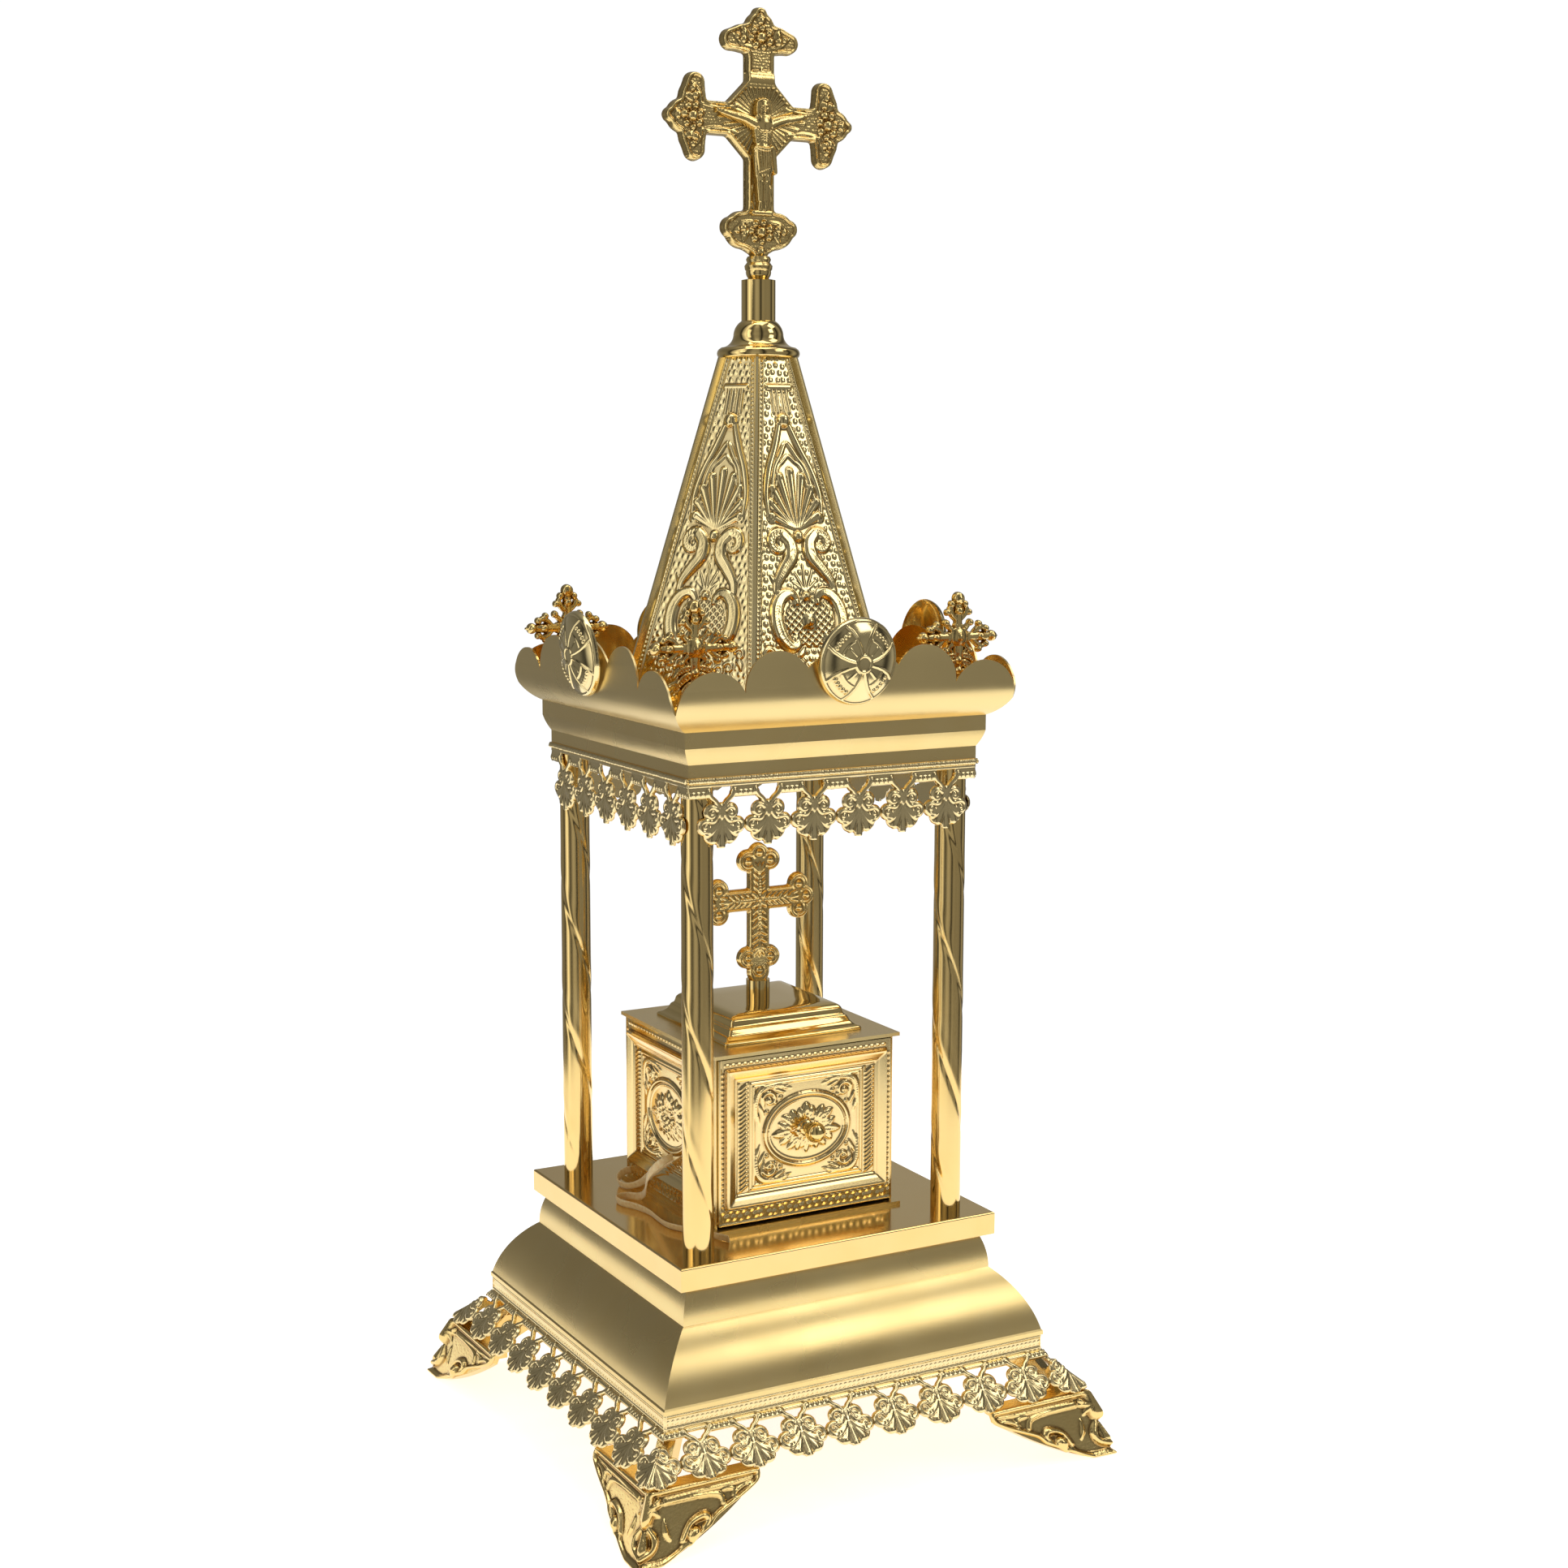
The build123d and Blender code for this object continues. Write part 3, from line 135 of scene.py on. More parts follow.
# ----------------------------------------------------------------------------- canvases
class Canvas:
    """A height map on which ornament is laid, and which may have an outline."""

    def __init__(self, x, y):
        self.x, self.y = x, y
        self.rows = y[:, 0]
        self.h = np.zeros(x.shape)
        self.body = np.full(x.shape, VOID)      # distance inside the outline

    @classmethod
    def flat(cls, low, high, pitch):
        """A rectangle between two corners."""
        across = np.linspace(low[0], high[0], round((high[0] - low[0]) / pitch) + 1)
        up = np.linspace(low[1], high[1], round((high[1] - low[1]) / pitch) + 1)
        return cls(*np.meshgrid(across, up))

    def band(self, low, high):
        """The rows between two heights."""
        return slice(*np.searchsorted(self.rows, (low, high)))

    def stroke(self, line, width, rise=0.8, groove=0.0, base=0.0, solid=False, both=False):
        """A rounded ridge along a line.  width is its half width, or a list of them along it;
        rise is its height over its half width; solid makes it part of the outline too."""
        line = np.atleast_2d(np.array(line, float))
        if len(line) == 1:
            line = np.vstack([line, line + (0.0, 1e-4)])
        given = np.atleast_1d(width)
        widths = np.interp(np.linspace(0, 1, len(line)), np.linspace(0, 1, len(given)), given)
        for (ax, ay), (bx, by), wa, wb in zip(line, line[1:], widths, widths[1:]):
            reach = max(wa, wb) * 1.3
            rows = self.band(min(ay, by) - reach, max(ay, by) + reach)
            if rows.start >= rows.stop:
                continue
            x, y = self.x[rows] - ax, self.y[rows] - ay
            dx, dy = bx - ax, by - ay
            t = np.clip((x * dx + y * dy) / (dx * dx + dy * dy + 1e-12), 0, 1)
            away = np.hypot(x - t * dx, y - t * dy)
            half = wa + (wb - wa) * t
            inside = np.clip(1 - (away / half) ** 2, 0, 1)
            laid = rise * half * np.sqrt(inside)
            if groove:
                laid *= 1 - groove * np.clip(1 - (away / half / 0.45) ** 2, 0, 1)
            self.h[rows] = np.maximum(self.h[rows], np.where(inside > 0, base + laid, VOID))
            if solid:
                self.body[rows] = np.maximum(self.body[rows], half - away)
        if both:
            self.stroke(mirrored(line), widths, rise, groove, base, solid)

    def bead(self, x, y, radius, rise=0.9, **more):
        """A round bump."""
        self.stroke([(x, y)], radius, rise, **more)

    def leaf(self, start, end, width, rise=0.5, bend=0.0, **more):
        """A leaf from its stalk to its tip, with a vein; bend pushes its middle to the left."""
        (ax, ay), (bx, by) = start, end
        middle = ((ax + bx) / 2 - (by - ay) * bend, (ay + by) / 2 + (bx - ax) * bend)
        line = smooth([start, middle, end], 5)
        widths = [0.35 * width, width, 0.8 * width, 0.15 * width]
        self.stroke(line, widths, rise, groove=0.6, **more)

    def pebbles(self, pitch, rise, where, seed):
        """A hammered ground: small bumps in uneven rows, where the mask says."""
        period = 61         # rows and columns after which the unevenness repeats
        rng = np.random.default_rng(seed)
        shifts = rng.uniform(-0.16, 0.16, (period, period, 2))
        row = np.floor(self.y / pitch)
        across = self.x / pitch + 0.5 * (row % 2)
        column = np.floor(across)
        shift = shifts[row.astype(int) % period, column.astype(int) % period]
        away = np.hypot(across - column - 0.5 - shift[..., 0],
                        self.y / pitch - row - 0.5 - shift[..., 1])
        bump = rise * np.clip(1 - (away / 0.42) ** 2, 0, 1)
        self.h = np.maximum(self.h, np.where(where, bump, 0))

    def free(self, margin):
        """Where nothing is laid within so many pitches."""
        laid = Canvas(self.x, self.y)
        laid.h = (self.h > 0.02).astype(float)
        laid.soften(margin)
        return laid.h < 0.04

    def soften(self, times=1):
        """Blur the relief by about one pitch."""
        for _ in range(times):
            padded = np.pad(self.h, 1, mode="edge")
            across = (padded[1:-1, :-2] + 2 * padded[1:-1, 1:-1] + padded[1:-1, 2:]) / 4
            padded = np.pad(across, 1, mode="edge")
            self.h = (padded[:-2, 1:-1] + 2 * padded[1:-1, 1:-1] + padded[2:, 1:-1]) / 4

    def inside(self, line, corners=()):
        """Sets the outline to a closed line of points, with square corners after them."""
        line = np.vstack([line, *[[corner] for corner in corners[::-1]]])
        away = np.full(self.x.shape, -VOID)
        odd = np.zeros(self.x.shape, bool)
        for (ax, ay), (bx, by) in zip(line, np.roll(line, -1, 0)):
            dx, dy = bx - ax, by - ay
            x, y = self.x - ax, self.y - ay
            t = np.clip((x * dx + y * dy) / (dx * dx + dy * dy + 1e-12), 0, 1)
            away = np.minimum(away, np.hypot(x - t * dx, y - t * dy))
            if ay != by:
                crosses = (ay > self.y) != (by > self.y)
                odd ^= crosses & (self.x < ax + (self.y - ay) * dx / dy)
        self.body = np.where(odd, away, -away)

    def blur_body(self, times):
        """Rounds the inner corners of the outline."""
        held, self.h = self.h, np.maximum(self.body, -8)
        self.soften(times)
        self.body, self.h = self.h, held

    def limb(self, line, width, depth, base=0.0, blend=0.3):
        """A body part: a rounded ridge that flows into what is there already."""
        made = Canvas(self.x, self.y)
        made.h += VOID
        made.stroke(line, width, depth, base=base, solid=True)
        self.body = np.maximum(self.body, made.body)
        gap = np.clip(0.5 + 0.5 * (made.h - self.h) / blend, 0, 1)
        near = made.h > VOID / 2
        mixed = made.h * gap + self.h * (1 - gap) + blend * gap * (1 - gap)
        self.h = np.where(near, mixed, self.h)

    def emboss(self, line, width, amount, both=False):
        """Adds a soft ridge, or with a negative amount a groove, to what is there."""
        made = Canvas(self.x, self.y)
        made.stroke(line, width, 1.0, both=both)
        self.h += amount * np.clip(made.h / np.max(width), 0, 1)

    def figure(self):
        """The corpus: calm, symmetrical, after textbook proportions; zero is where the arms
        cross."""
        for side in (-1, 1):
            arm = smooth([(side * 2.8, -1.8), (side * 8.0, 0.2), (side * 13.0, 1.2),
                          (side * 17.4, 2.2)], 6)
            self.limb(arm, [2.6, 2.1, 1.7, 1.3], 1.0, 0.5)
            self.limb([(side * 17.2, 2.2), (side * 19.2, 2.8)], [1.15, 0.8], 0.8, 0.5)
            for k in range(4):
                self.stroke([(side * 18.2, 1.9 + 0.35 * k), (side * 20.0, 2.1 + 0.55 * k)],
                            0.24, 0.8, base=0.9, solid=True)
        self.limb([(0, -1.4), (0, -5.4)], [4.7, 4.1], 0.6, 0.7)
        self.limb([(0, -5.0), (0, -9.5)], [3.9, 3.6], 0.66, 0.6)
        for side in (-1, 1):
            self.limb([(side * 1.75, -2.4), (side * 1.0, -3.3)], 1.8, 0.5, 1.5, 0.4)
            self.limb([(side * 1.7, -13.5), (side * 1.4, -21.2)], [2.7, 2.1], 0.9, 0.7)
            self.limb([(side * 1.4, -21.2), (side * 1.25, -22.6)], 1.95, 0.95, 0.9, 0.4)
            self.limb([(side * 1.3, -22.4), (side * 1.0, -29.8)], [1.9, 1.3], 0.95, 0.7)
            self.limb([(side * 0.75, -29.6), (side * 0.95, -33.0)], [1.0, 1.25], 0.8, 0.7)
        for rib in range(4):
            low = rib * 0.95
            self.emboss(smooth([(0.45, -4.6 - low), (1.6, -5.0 - low), (2.8, -6.2 - low)], 4),
                        0.34, -0.3, True)
        self.emboss(smooth([(0.3, -4.2), (1.8, -4.3), (3.0, -3.0)], 4), 0.4, -0.35, True)
        self.emboss([(0, -1.6), (0, -8.8)], 0.35, -0.25)
        self.emboss(arc(0, -9.6, 1.7, 200, 340, 8), 0.4, -0.25)
        self.emboss([(-0.1, -9.0), (0.1, -9.1)], 0.3, -0.4)
        self.limb([(-3.6, -34.6), (3.6, -34.6)], 1.2, 0.8, 0.5)
        # cloth: a knot on one hip, folds falling across
        self.limb([(-2.7, -10.6), (2.7, -10.8)], 2.0, 0.75, 1.3)
        self.limb([(-0.3, -12.0), (0.4, -17.6)], [4.2, 3.9], 0.5, 1.45)
        self.limb([(3.9, -11.0), (5.2, -19.2)], [1.7, 1.1], 0.85, 1.2)
        for k in range(6):
            fold = [(-3.4 + 1.0 * k, -10.6), (-3.0 + 1.1 * k, -13.8),
                    (-2.2 + 0.8 * k, -19.4 + 0.3 * k)]
            self.emboss(smooth(fold, 5), [0.42, 0.5, 0.35], 0.55)
        self.emboss(smooth([(-3.6, -10.3), (0, -11.2), (3.6, -10.0)], 4), 0.75, 0.6)
        for side in (-1, 1):
            self.emboss([(side * 1.1, -21.4), (side * 1.0, -22.2)], 0.8, 0.3)
        self.limb([(0, -0.2), (0, 1.6)], 1.35, 0.8, 0.9)
        self.head(0.0, 4.4)
        self.soften(1)

    def head(self, x, y):
        """A plain oval face between centre-parted hair and a short beard, eyes lowered."""
        tall, wide = 3.5, 2.4
        self.limb([(x, y + 1.1), (x, y - 0.6)], [2.9, 2.5], 0.75, 0.6)
        for side in (-1, 1):
            lock = smooth([(x + side * 0.5, y + 3.4), (x + side * 2.2, y + 2.3),
                           (x + side * 2.65, y + 0.2), (x + side * 2.7, y - 2.0),
                           (x + side * 2.3, y - 3.6)], 5)
            self.limb(lock, [0.8, 0.95, 0.9, 0.6], 0.9, 1.5)
            for k in range(3):
                strand = lock + (side * (0.4 - 0.4 * k), 0.0)
                self.emboss(strand, 0.26, 0.22)
        self.limb([(x - 1.5, y - 2.7), (x + 1.5, y - 2.7)], 1.5, 0.7, 0.7)
        # face: an oval divided in thirds at brow and nose, eyes half way up
        u, v = (self.x - x) / wide, (self.y - y) / tall
        oval = np.sqrt(np.clip(1 - u * u - v * v, 0, 1))
        self.h = np.where(oval > 0.05, np.maximum(self.h, 1.65 + 1.5 * oval), self.h)
        self.body = np.where(oval > 0.05, np.maximum(self.body, oval), self.body)
        brow, eye, nose, mouth, chin = y + 0.95, y + 0.25, y - 0.95, y - 1.6, y - 2.5

        def swell(amount, across, up, wide_by, tall_by):
            self.h += amount * np.exp(-((self.x - x - across) / wide_by) ** 2
                                      - ((self.y - up) / tall_by) ** 2)

        for side in (-1, 1):
            swell(-0.62, side * 0.85, eye, 0.55, 0.34)
            swell(0.34, side * 0.85, eye, 0.36, 0.20)
            swell(0.2, side * 0.9, brow, 0.62, 0.16)
            swell(0.12, side * 1.15, nose, 0.4, 0.4)
        bridge = np.clip((brow - self.y) / (brow - nose), 0, 1)
        slope = (0.18 + 0.55 * bridge) * np.exp(-((self.x - x) / (0.17 + 0.17 * bridge)) ** 2)
        self.h += np.where((self.y > nose - 0.25) & (self.y < brow), slope, 0)
        for k, low in enumerate((0.0, 0.36)):
            self.h += (0.3 - 0.04 * k) * np.exp(-((self.x - x) / (0.62 - 0.12 * k)) ** 2
                                               - ((self.y - mouth + low) / 0.13) ** 2)
        moustache = smooth([(x - 0.95, mouth + 0.25), (x, mouth + 0.42),
                            (x + 0.95, mouth + 0.25)], 4)
        self.stroke(moustache, 0.2, 0.5, base=2.85)
        for k in range(-3, 4):
            strand = [(x + 0.42 * k, chin + 0.55), (x + 0.3 * k, chin - 1.25 + 0.1 * abs(k))]
            self.stroke(strand, [0.34, 0.18], 0.9, base=2.1, solid=True)
        for side in (-1, 1):
            cheek = [(x + side * 1.85, y - 0.3), (x + side * 1.6, y - 1.9), (x + side * 0.9, chin)]
            self.stroke(smooth(cheek, 4), 0.28, 0.8, base=2.2)

    def hollows(self):
        """How far each point lies below its surroundings, from -1 on a crest to 1."""
        wide = Canvas(self.x, self.y)
        wide.h = self.h.copy()
        wide.soften(18)
        return np.clip((wide.h - self.h) / 0.35, -1, 1)


# --------------------------------------------------------------------------------- meshes
def make_mesh(name, points, quads, hollows=None, sharp=None):
    """A mesh in metres from points in millimetres and their quads."""
    mesh = bpy.data.meshes.new(name)
    mesh.vertices.add(len(points))
    mesh.vertices.foreach_set("co", (np.asarray(points) * MM).astype(np.float32).ravel())
    mesh.loops.add(4 * len(quads))
    mesh.loops.foreach_set("vertex_index", np.asarray(quads, np.int32).ravel())
    mesh.polygons.add(len(quads))
    mesh.polygons.foreach_set("loop_start", np.arange(0, 4 * len(quads), 4, dtype=np.int32))
    mesh.polygons.foreach_set("use_smooth", np.ones(len(quads), bool))
    mesh.update(calc_edges=True)
    if sharp:
        mesh.set_sharp_from_angle(angle=radians(sharp))
    if hollows is not None:
        mesh.attributes.new("hollow", "FLOAT", "POINT").data.foreach_set(
            "value", np.asarray(hollows, np.float32).ravel()
        )
    return mesh


def ring_quads(rings, steps):
    """The quads between closed rings that each have so many points."""
    ids = np.arange(rings * steps).reshape(rings, steps)
    after = np.roll(ids, -1, 1)
    return np.stack([ids[:-1], after[:-1], after[1:], ids[1:]], -1).reshape(-1, 4)


def plate(name, canvas, place, thickness=0.8, edge=0.3, outline=False, back=None):
    """A closed sheet: the canvas in front, its flat back, and walls along every edge.
    place turns x, y and h into points; edge is how far the front is rounded at an outline."""
    x, y, h = canvas.x.copy(), canvas.y.copy(), canvas.h.copy()
    total = x.size
    solid = np.ones(x.shape, bool)
    if outline:
        body = canvas.body
        solid = body > 0
        slope_y, slope_x = np.gradient(body, canvas.rows, canvas.x[0])
        steep = np.maximum(slope_x**2 + slope_y**2, 0.25)
        outside = (body <= 0) & (body > -2)
        x[outside] -= (body * slope_x / steep)[outside]
        y[outside] -= (body * slope_y / steep)[outside]
        inward = np.clip(body / edge, 0, 1)
        h = (h + thickness) * np.sqrt(np.clip(1 - (1 - inward) ** 2, 0.08, 1)) - thickness
    ids = np.arange(total).reshape(x.shape)
    cells = solid[:-1, :-1] | solid[1:, :-1] | solid[:-1, 1:] | solid[1:, 1:]
    quads = np.stack([ids[:-1, :-1], ids[:-1, 1:], ids[1:, 1:], ids[1:, :-1]], -1)[cells]
    front = np.stack(place(x, y, h), -1).reshape(-1, 3)
    rear_h = np.full(x.shape, -thickness) if back is None else back
    rear = np.stack(place(x, y, rear_h), -1).reshape(-1, 3)
    edges = np.vstack([quads[:, [k, (k + 1) % 4]] for k in range(4)])
    keys = np.sort(edges, 1) @ np.array([total, 1])
    _, first, count = np.unique(keys, return_index=True, return_counts=True)
    rim = edges[first[count == 1]]      # edges of one quad only
    walls = np.column_stack([rim[:, 1], rim[:, 0], rim[:, 0] + total, rim[:, 1] + total])
    everything = np.vstack([quads, quads[:, ::-1] + total, walls])
    used, compact = np.unique(everything, return_inverse=True)
    hollow = np.concatenate([canvas.hollows().ravel(), np.zeros(total)])[used]
    points = np.vstack([front, rear])[used]
    return make_mesh(name, points, compact.reshape(-1, 4), hollow, sharp=55)


def lathe(name, outline, steps=64):
    """A closed solid of revolution about Z from (radius, height) points, bottom to top."""
    radius, height = np.array(outline, float).T[..., None]
    a = np.linspace(0, 2 * pi, steps, endpoint=False)
    points = np.stack([radius * np.cos(a), radius * np.sin(a), np.repeat(height, steps, 1)], -1)
    return make_mesh(name, points.reshape(-1, 3), ring_quads(len(outline), steps), sharp=40)


def piece(mesh, material, body="tabernacle", turn=0.0, replaces=(), name=None,
          at=(0, 0, 0), tip=0.0):
    """An object made from a mesh, riding on a body: tipped about X, turned about Z, in degrees,
    then moved to a place in millimetres."""
    thing = bpy.data.objects.new(name or mesh.name, mesh)
    bpy.context.scene.collection.objects.link(thing)
    if not mesh.materials:
        mesh.materials.append(material)
    thing.rotation_euler = (radians(tip), 0, radians(turn))
    thing.location = [v * MM for v in at]
    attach(thing, body)
    if replaces:
        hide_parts(*replaces)
    return thing


def upright(distance, height, lean=0.0, middle=0.0):
    """Places a canvas on the front: at a distance from the axis, leaning out at the top."""
    lean = radians(lean)

    def place(x, y, h):
        out = distance + y * sin(lean) + h * cos(lean)
        return middle + x, -out, height + y * cos(lean) - h * sin(lean)

    return place


def on_four_sides(mesh, material, name, replaces=()):
    """The same piece on the front and on the other three sides; {} in a name is the side."""
    for side, turn in SIDES.items():
        piece(mesh, material, turn=turn, replaces=[node.format(side) for node in replaces],
              name=name.format(side))


# ------------------------------------------------------------------------------ materials
def material(name, base, roughness, metallic=1.0):
    """A new material, its node tree and its main shader."""
    made = bpy.data.materials.new(name)
    made.use_nodes = True
    shader = made.node_tree.nodes["Principled BSDF"]
    shader.inputs["Base Color"].default_value = (*base, 1)
    shader.inputs["Roughness"].default_value = roughness
    shader.inputs["Metallic"].default_value = metallic
    return made, made.node_tree, shader


def noise(tree, scale, detail=3.0, stretch=(1, 1, 1)):
    """Noise in the object's own space; scale counts its features per metre."""
    place = tree.nodes.new("ShaderNodeTexCoord")
    scaled = tree.nodes.new("ShaderNodeMapping")
    scaled.inputs["Scale"].default_value = stretch
    tree.links.new(place.outputs["Object"], scaled.inputs["Vector"])
    node = tree.nodes.new("ShaderNodeTexNoise")
    node.inputs["Scale"].default_value = scale
    node.inputs["Detail"].default_value = detail
    tree.links.new(scaled.outputs["Vector"], node.inputs["Vector"])
    return node.outputs["Fac"]


def spread(tree, value, low, high, start=0.3, end=0.7):
    """A value remapped from start..end to low..high."""
    node = tree.nodes.new("ShaderNodeMapRange")
    tree.links.new(value, node.inputs["Value"])
    for label, number in (("From Min", start), ("From Max", end), ("To Min", low),
                          ("To Max", high)):
        node.inputs[label].default_value = number
    return node.outputs["Result"]


def blended(tree, share, first, second, how="MIX"):
    """Two colours mixed by a share; each of the three is a value or a socket."""
    node = tree.nodes.new("ShaderNodeMix")
    node.data_type = "RGBA"
    node.blend_type = how
    for socket, given in ((node.inputs["Factor"], share), (node.inputs[6], first),
                          (node.inputs[7], second)):
        if isinstance(given, tuple):
            socket.default_value = (*given, 1)
        elif isinstance(given, float):
            socket.default_value = given
        else:
            tree.links.new(given, socket)
    return node.outputs[2]


def dent(tree, shader, height, distance, strength=1.0, before=None):
    """Bump from a height, on top of an earlier bump if there is one."""
    node = tree.nodes.new("ShaderNodeBump")
    node.inputs["Strength"].default_value = strength
    node.inputs["Distance"].default_value = distance
    tree.links.new(height, node.inputs["Height"])
    if before is not None:
        tree.links.new(before, node.inputs["Normal"])
    tree.links.new(node.outputs["Normal"], shader.inputs["Normal"])
    return node.outputs["Normal"]


HOLLOW_SHADE_AMBER = (0.30, 0.15, 0.035)     # painted shade: dark amber standing in for the shade and inter-reflected light in the hollows of the relief
FINE_GRAIN = 5200               # features per metre


def gold(name, base, second, rough, painted_hollow_shade=0.0, grain=0.0, pits=0.0, waves=0.0):
    """Gold plate: cloudy colour, uneven polish, painted shade of dark amber in the hollows, and
    grain, pits or slow waves of a depth in millimetres."""
    made, tree, shader = material(name, base, rough[0])
    cloud = spread(tree, noise(tree, 18), 0.0, 1.0)
    colour = blended(tree, spread(tree, noise(tree, 60), 0.0, 0.45), base, second)
    # painted shade: the relief's hollows are mixed towards dark amber, standing in for shade and
    # inter-reflected light there
    if painted_hollow_shade:
        hollow = tree.nodes.new("ShaderNodeAttribute")
        hollow.attribute_name = "hollow"
        share = spread(tree, hollow.outputs["Fac"], 0.0, painted_hollow_shade, 0.05, 0.9)
        colour = blended(tree, share, colour, HOLLOW_SHADE_AMBER)
    tree.links.new(colour, shader.inputs["Base Color"])
    tree.links.new(spread(tree, cloud, *rough, 0.0, 1.0), shader.inputs["Roughness"])
    bump = None
    if waves:
        bump = dent(tree, shader, noise(tree, 45, 1.0), waves * MM)
    if pits:
        bump = dent(tree, shader, noise(tree, 900, 2.0), pits * MM, 1.0, bump)
    if grain:
        bump = dent(tree, shader, noise(tree, FINE_GRAIN, 2.0), grain * MM, 1.0, bump)
    return made


def gallery_gold():
    """Satin outside and mirror-bright inside, told apart by which way the sheet faces; the inside's
    deeper orange is painted reflection of the gold facing it.
    """
    # inner is partly real and partly painted: the polish inside is the gallery's own, its deeper
    # orange is painted reflection
    outer, inner = (0.88, 0.68, 0.31), (0.92, 0.60, 0.17)
    made, tree, shader = material("gallery_gold", outer, 0.3)
    geometry = tree.nodes.new("ShaderNodeNewGeometry")
    across = tree.nodes.new("ShaderNodeVectorMath")
    across.operation = "MULTIPLY"
    across.inputs[1].default_value = (1, 1, 0)
    tree.links.new(geometry.outputs["Position"], across.inputs[0])
    outwards = tree.nodes.new("ShaderNodeVectorMath")
    outwards.operation = "DOT_PRODUCT"
    tree.links.new(across.outputs[0], outwards.inputs[0])
    tree.links.new(geometry.outputs["Normal"], outwards.inputs[1])
    inside = spread(tree, outwards.outputs["Value"], 1.0, 0.0, -0.002, 0.002)
    tree.links.new(blended(tree, inside, outer, inner), shader.inputs["Base Color"])
    satin = spread(tree, noise(tree, 25), 0.27, 0.34)
    sheen = tree.nodes.new("ShaderNodeMix")
    tree.links.new(inside, sheen.inputs["Factor"])
    tree.links.new(satin, sheen.inputs[2])
    sheen.inputs[3].default_value = 0.12
    tree.links.new(sheen.outputs[0], shader.inputs["Roughness"])
    dent(tree, shader, noise(tree, FINE_GRAIN, 2.0), 0.004 * MM)
    return made


def steel():
    """Zinc-bright steel, faintly brushed."""
    made, tree, shader = material("zinc_steel", (0.6, 0.6, 0.6), 0.35)
    tree.links.new(spread(tree, noise(tree, 300), 0.28, 0.45), shader.inputs["Roughness"])
    dent(tree, shader, noise(tree, 2500, 2.0, (1, 1, 0.1)), 0.01 * MM)
    return made


def woven_ribbon():
    """Ribbed weave, with a soft sheen."""
    made, tree, shader = material("tan_ribbon", (0.5, 0.3, 0.12), 0.62, 0.0)
    cloth = spread(tree, noise(tree, 700, 2.0), 0.0, 1.0)
    colour = blended(tree, cloth, (0.86, 0.58, 0.25), (0.98, 0.78, 0.43))
    tree.links.new(colour, shader.inputs["Base Color"])
    shader.inputs["Sheen Weight"].default_value = 0.4
    shader.inputs["Sheen Roughness"].default_value = 0.4
    place = tree.nodes.new("ShaderNodeTexCoord")
    ribs = tree.nodes.new("ShaderNodeTexWave")
    ribs.inputs["Scale"].default_value = 900
    ribs.inputs["Distortion"].default_value = 0.6
    tree.links.new(place.outputs["Object"], ribs.inputs["Vector"])
    dent(tree, shader, ribs.outputs["Fac"], 0.06 * MM, 0.6)
    return made


def white_floor():
    """A pale floor that glows a little, so that it fades into the white ground."""
    made, tree, shader = material("pale_floor", (0.86, 0.86, 0.86), 0.7, 0.0)
    colour = blended(tree, noise(tree, 1.5), (0.85, 0.85, 0.85), (0.88, 0.88, 0.88))
    tree.links.new(colour, shader.inputs["Base Color"])
    shader.inputs["Emission Color"].default_value = (1, 1, 1, 1)
    shader.inputs["Emission Strength"].default_value = 0.74
    return made


SATIN = gold("satin_gold", (0.88, 0.67, 0.295), (0.86, 0.62, 0.24), (0.24, 0.32), grain=0.004)
MIRROR = gold("mirror_gold", (0.90, 0.67, 0.27), (0.88, 0.62, 0.22), (0.05, 0.10), waves=0.06)
TUBE_GOLD = gold("tube_gold", (0.90, 0.655, 0.265), (0.88, 0.61, 0.215), (0.10, 0.16), waves=0.03)
# EMBOSSED, CHEST_GOLD, CAST and PIERCED carry painted shade in their hollows, up to the share given
EMBOSSED = gold("embossed_gold", (0.93, 0.76, 0.39), (0.90, 0.68, 0.28), (0.10, 0.17),
                painted_hollow_shade=0.55, grain=0.003)
CHEST_GOLD = gold("chest_gold", (0.92, 0.71, 0.34), (0.88, 0.64, 0.25), (0.11, 0.18),
                  painted_hollow_shade=0.75, grain=0.003)
PLATE_GOLD = gold("plate_gold", (0.88, 0.645, 0.27), (0.86, 0.59, 0.21), (0.13, 0.19),
                  grain=0.002, waves=0.02)
CAST = gold("cast_gold", (0.88, 0.66, 0.27), (0.84, 0.58, 0.20), (0.13, 0.22),
            painted_hollow_shade=0.8, pits=0.08)
PIERCED = gold("pierced_gold", (0.94, 0.76, 0.40), (0.90, 0.70, 0.32), (0.15, 0.23),
               painted_hollow_shade=0.55, grain=0.004)
GALLERY = gallery_gold()
STEEL = steel()
RIBBON = woven_ribbon()


# ------------------------------------------------------------------------ camera and stage
def make_camera():
    """The photograph's view: from the front left, a little above."""
    data = bpy.data.cameras.new("camera")
    data.lens = 53.5
    data.sensor_width = 36.0
    data.shift_y = 0.006
    camera = bpy.data.objects.new("camera", data)
    bpy.context.scene.collection.objects.link(camera)
    camera.location = (-0.4391, -0.8145, 0.3962)
    camera.rotation_mode = "QUATERNION"
    level_view = Vector((0.4793, 0.8656, -0.1452)).to_track_quat("-Z", "Y")
    camera.rotation_quaternion = level_view @ Quaternion((0, 0, 1), radians(0.14))
    bpy.context.scene.camera = camera


def make_floor():
    """A thin round slab, its top just under the feet."""
    reach, top = 600.0, -0.2
    mesh = lathe("floor", [(reach, -6.0), (reach, top), (1.0, top)], 96)
    floor = bpy.data.objects.new("floor", mesh)
    bpy.context.scene.collection.objects.link(floor)
    mesh.materials.append(white_floor())


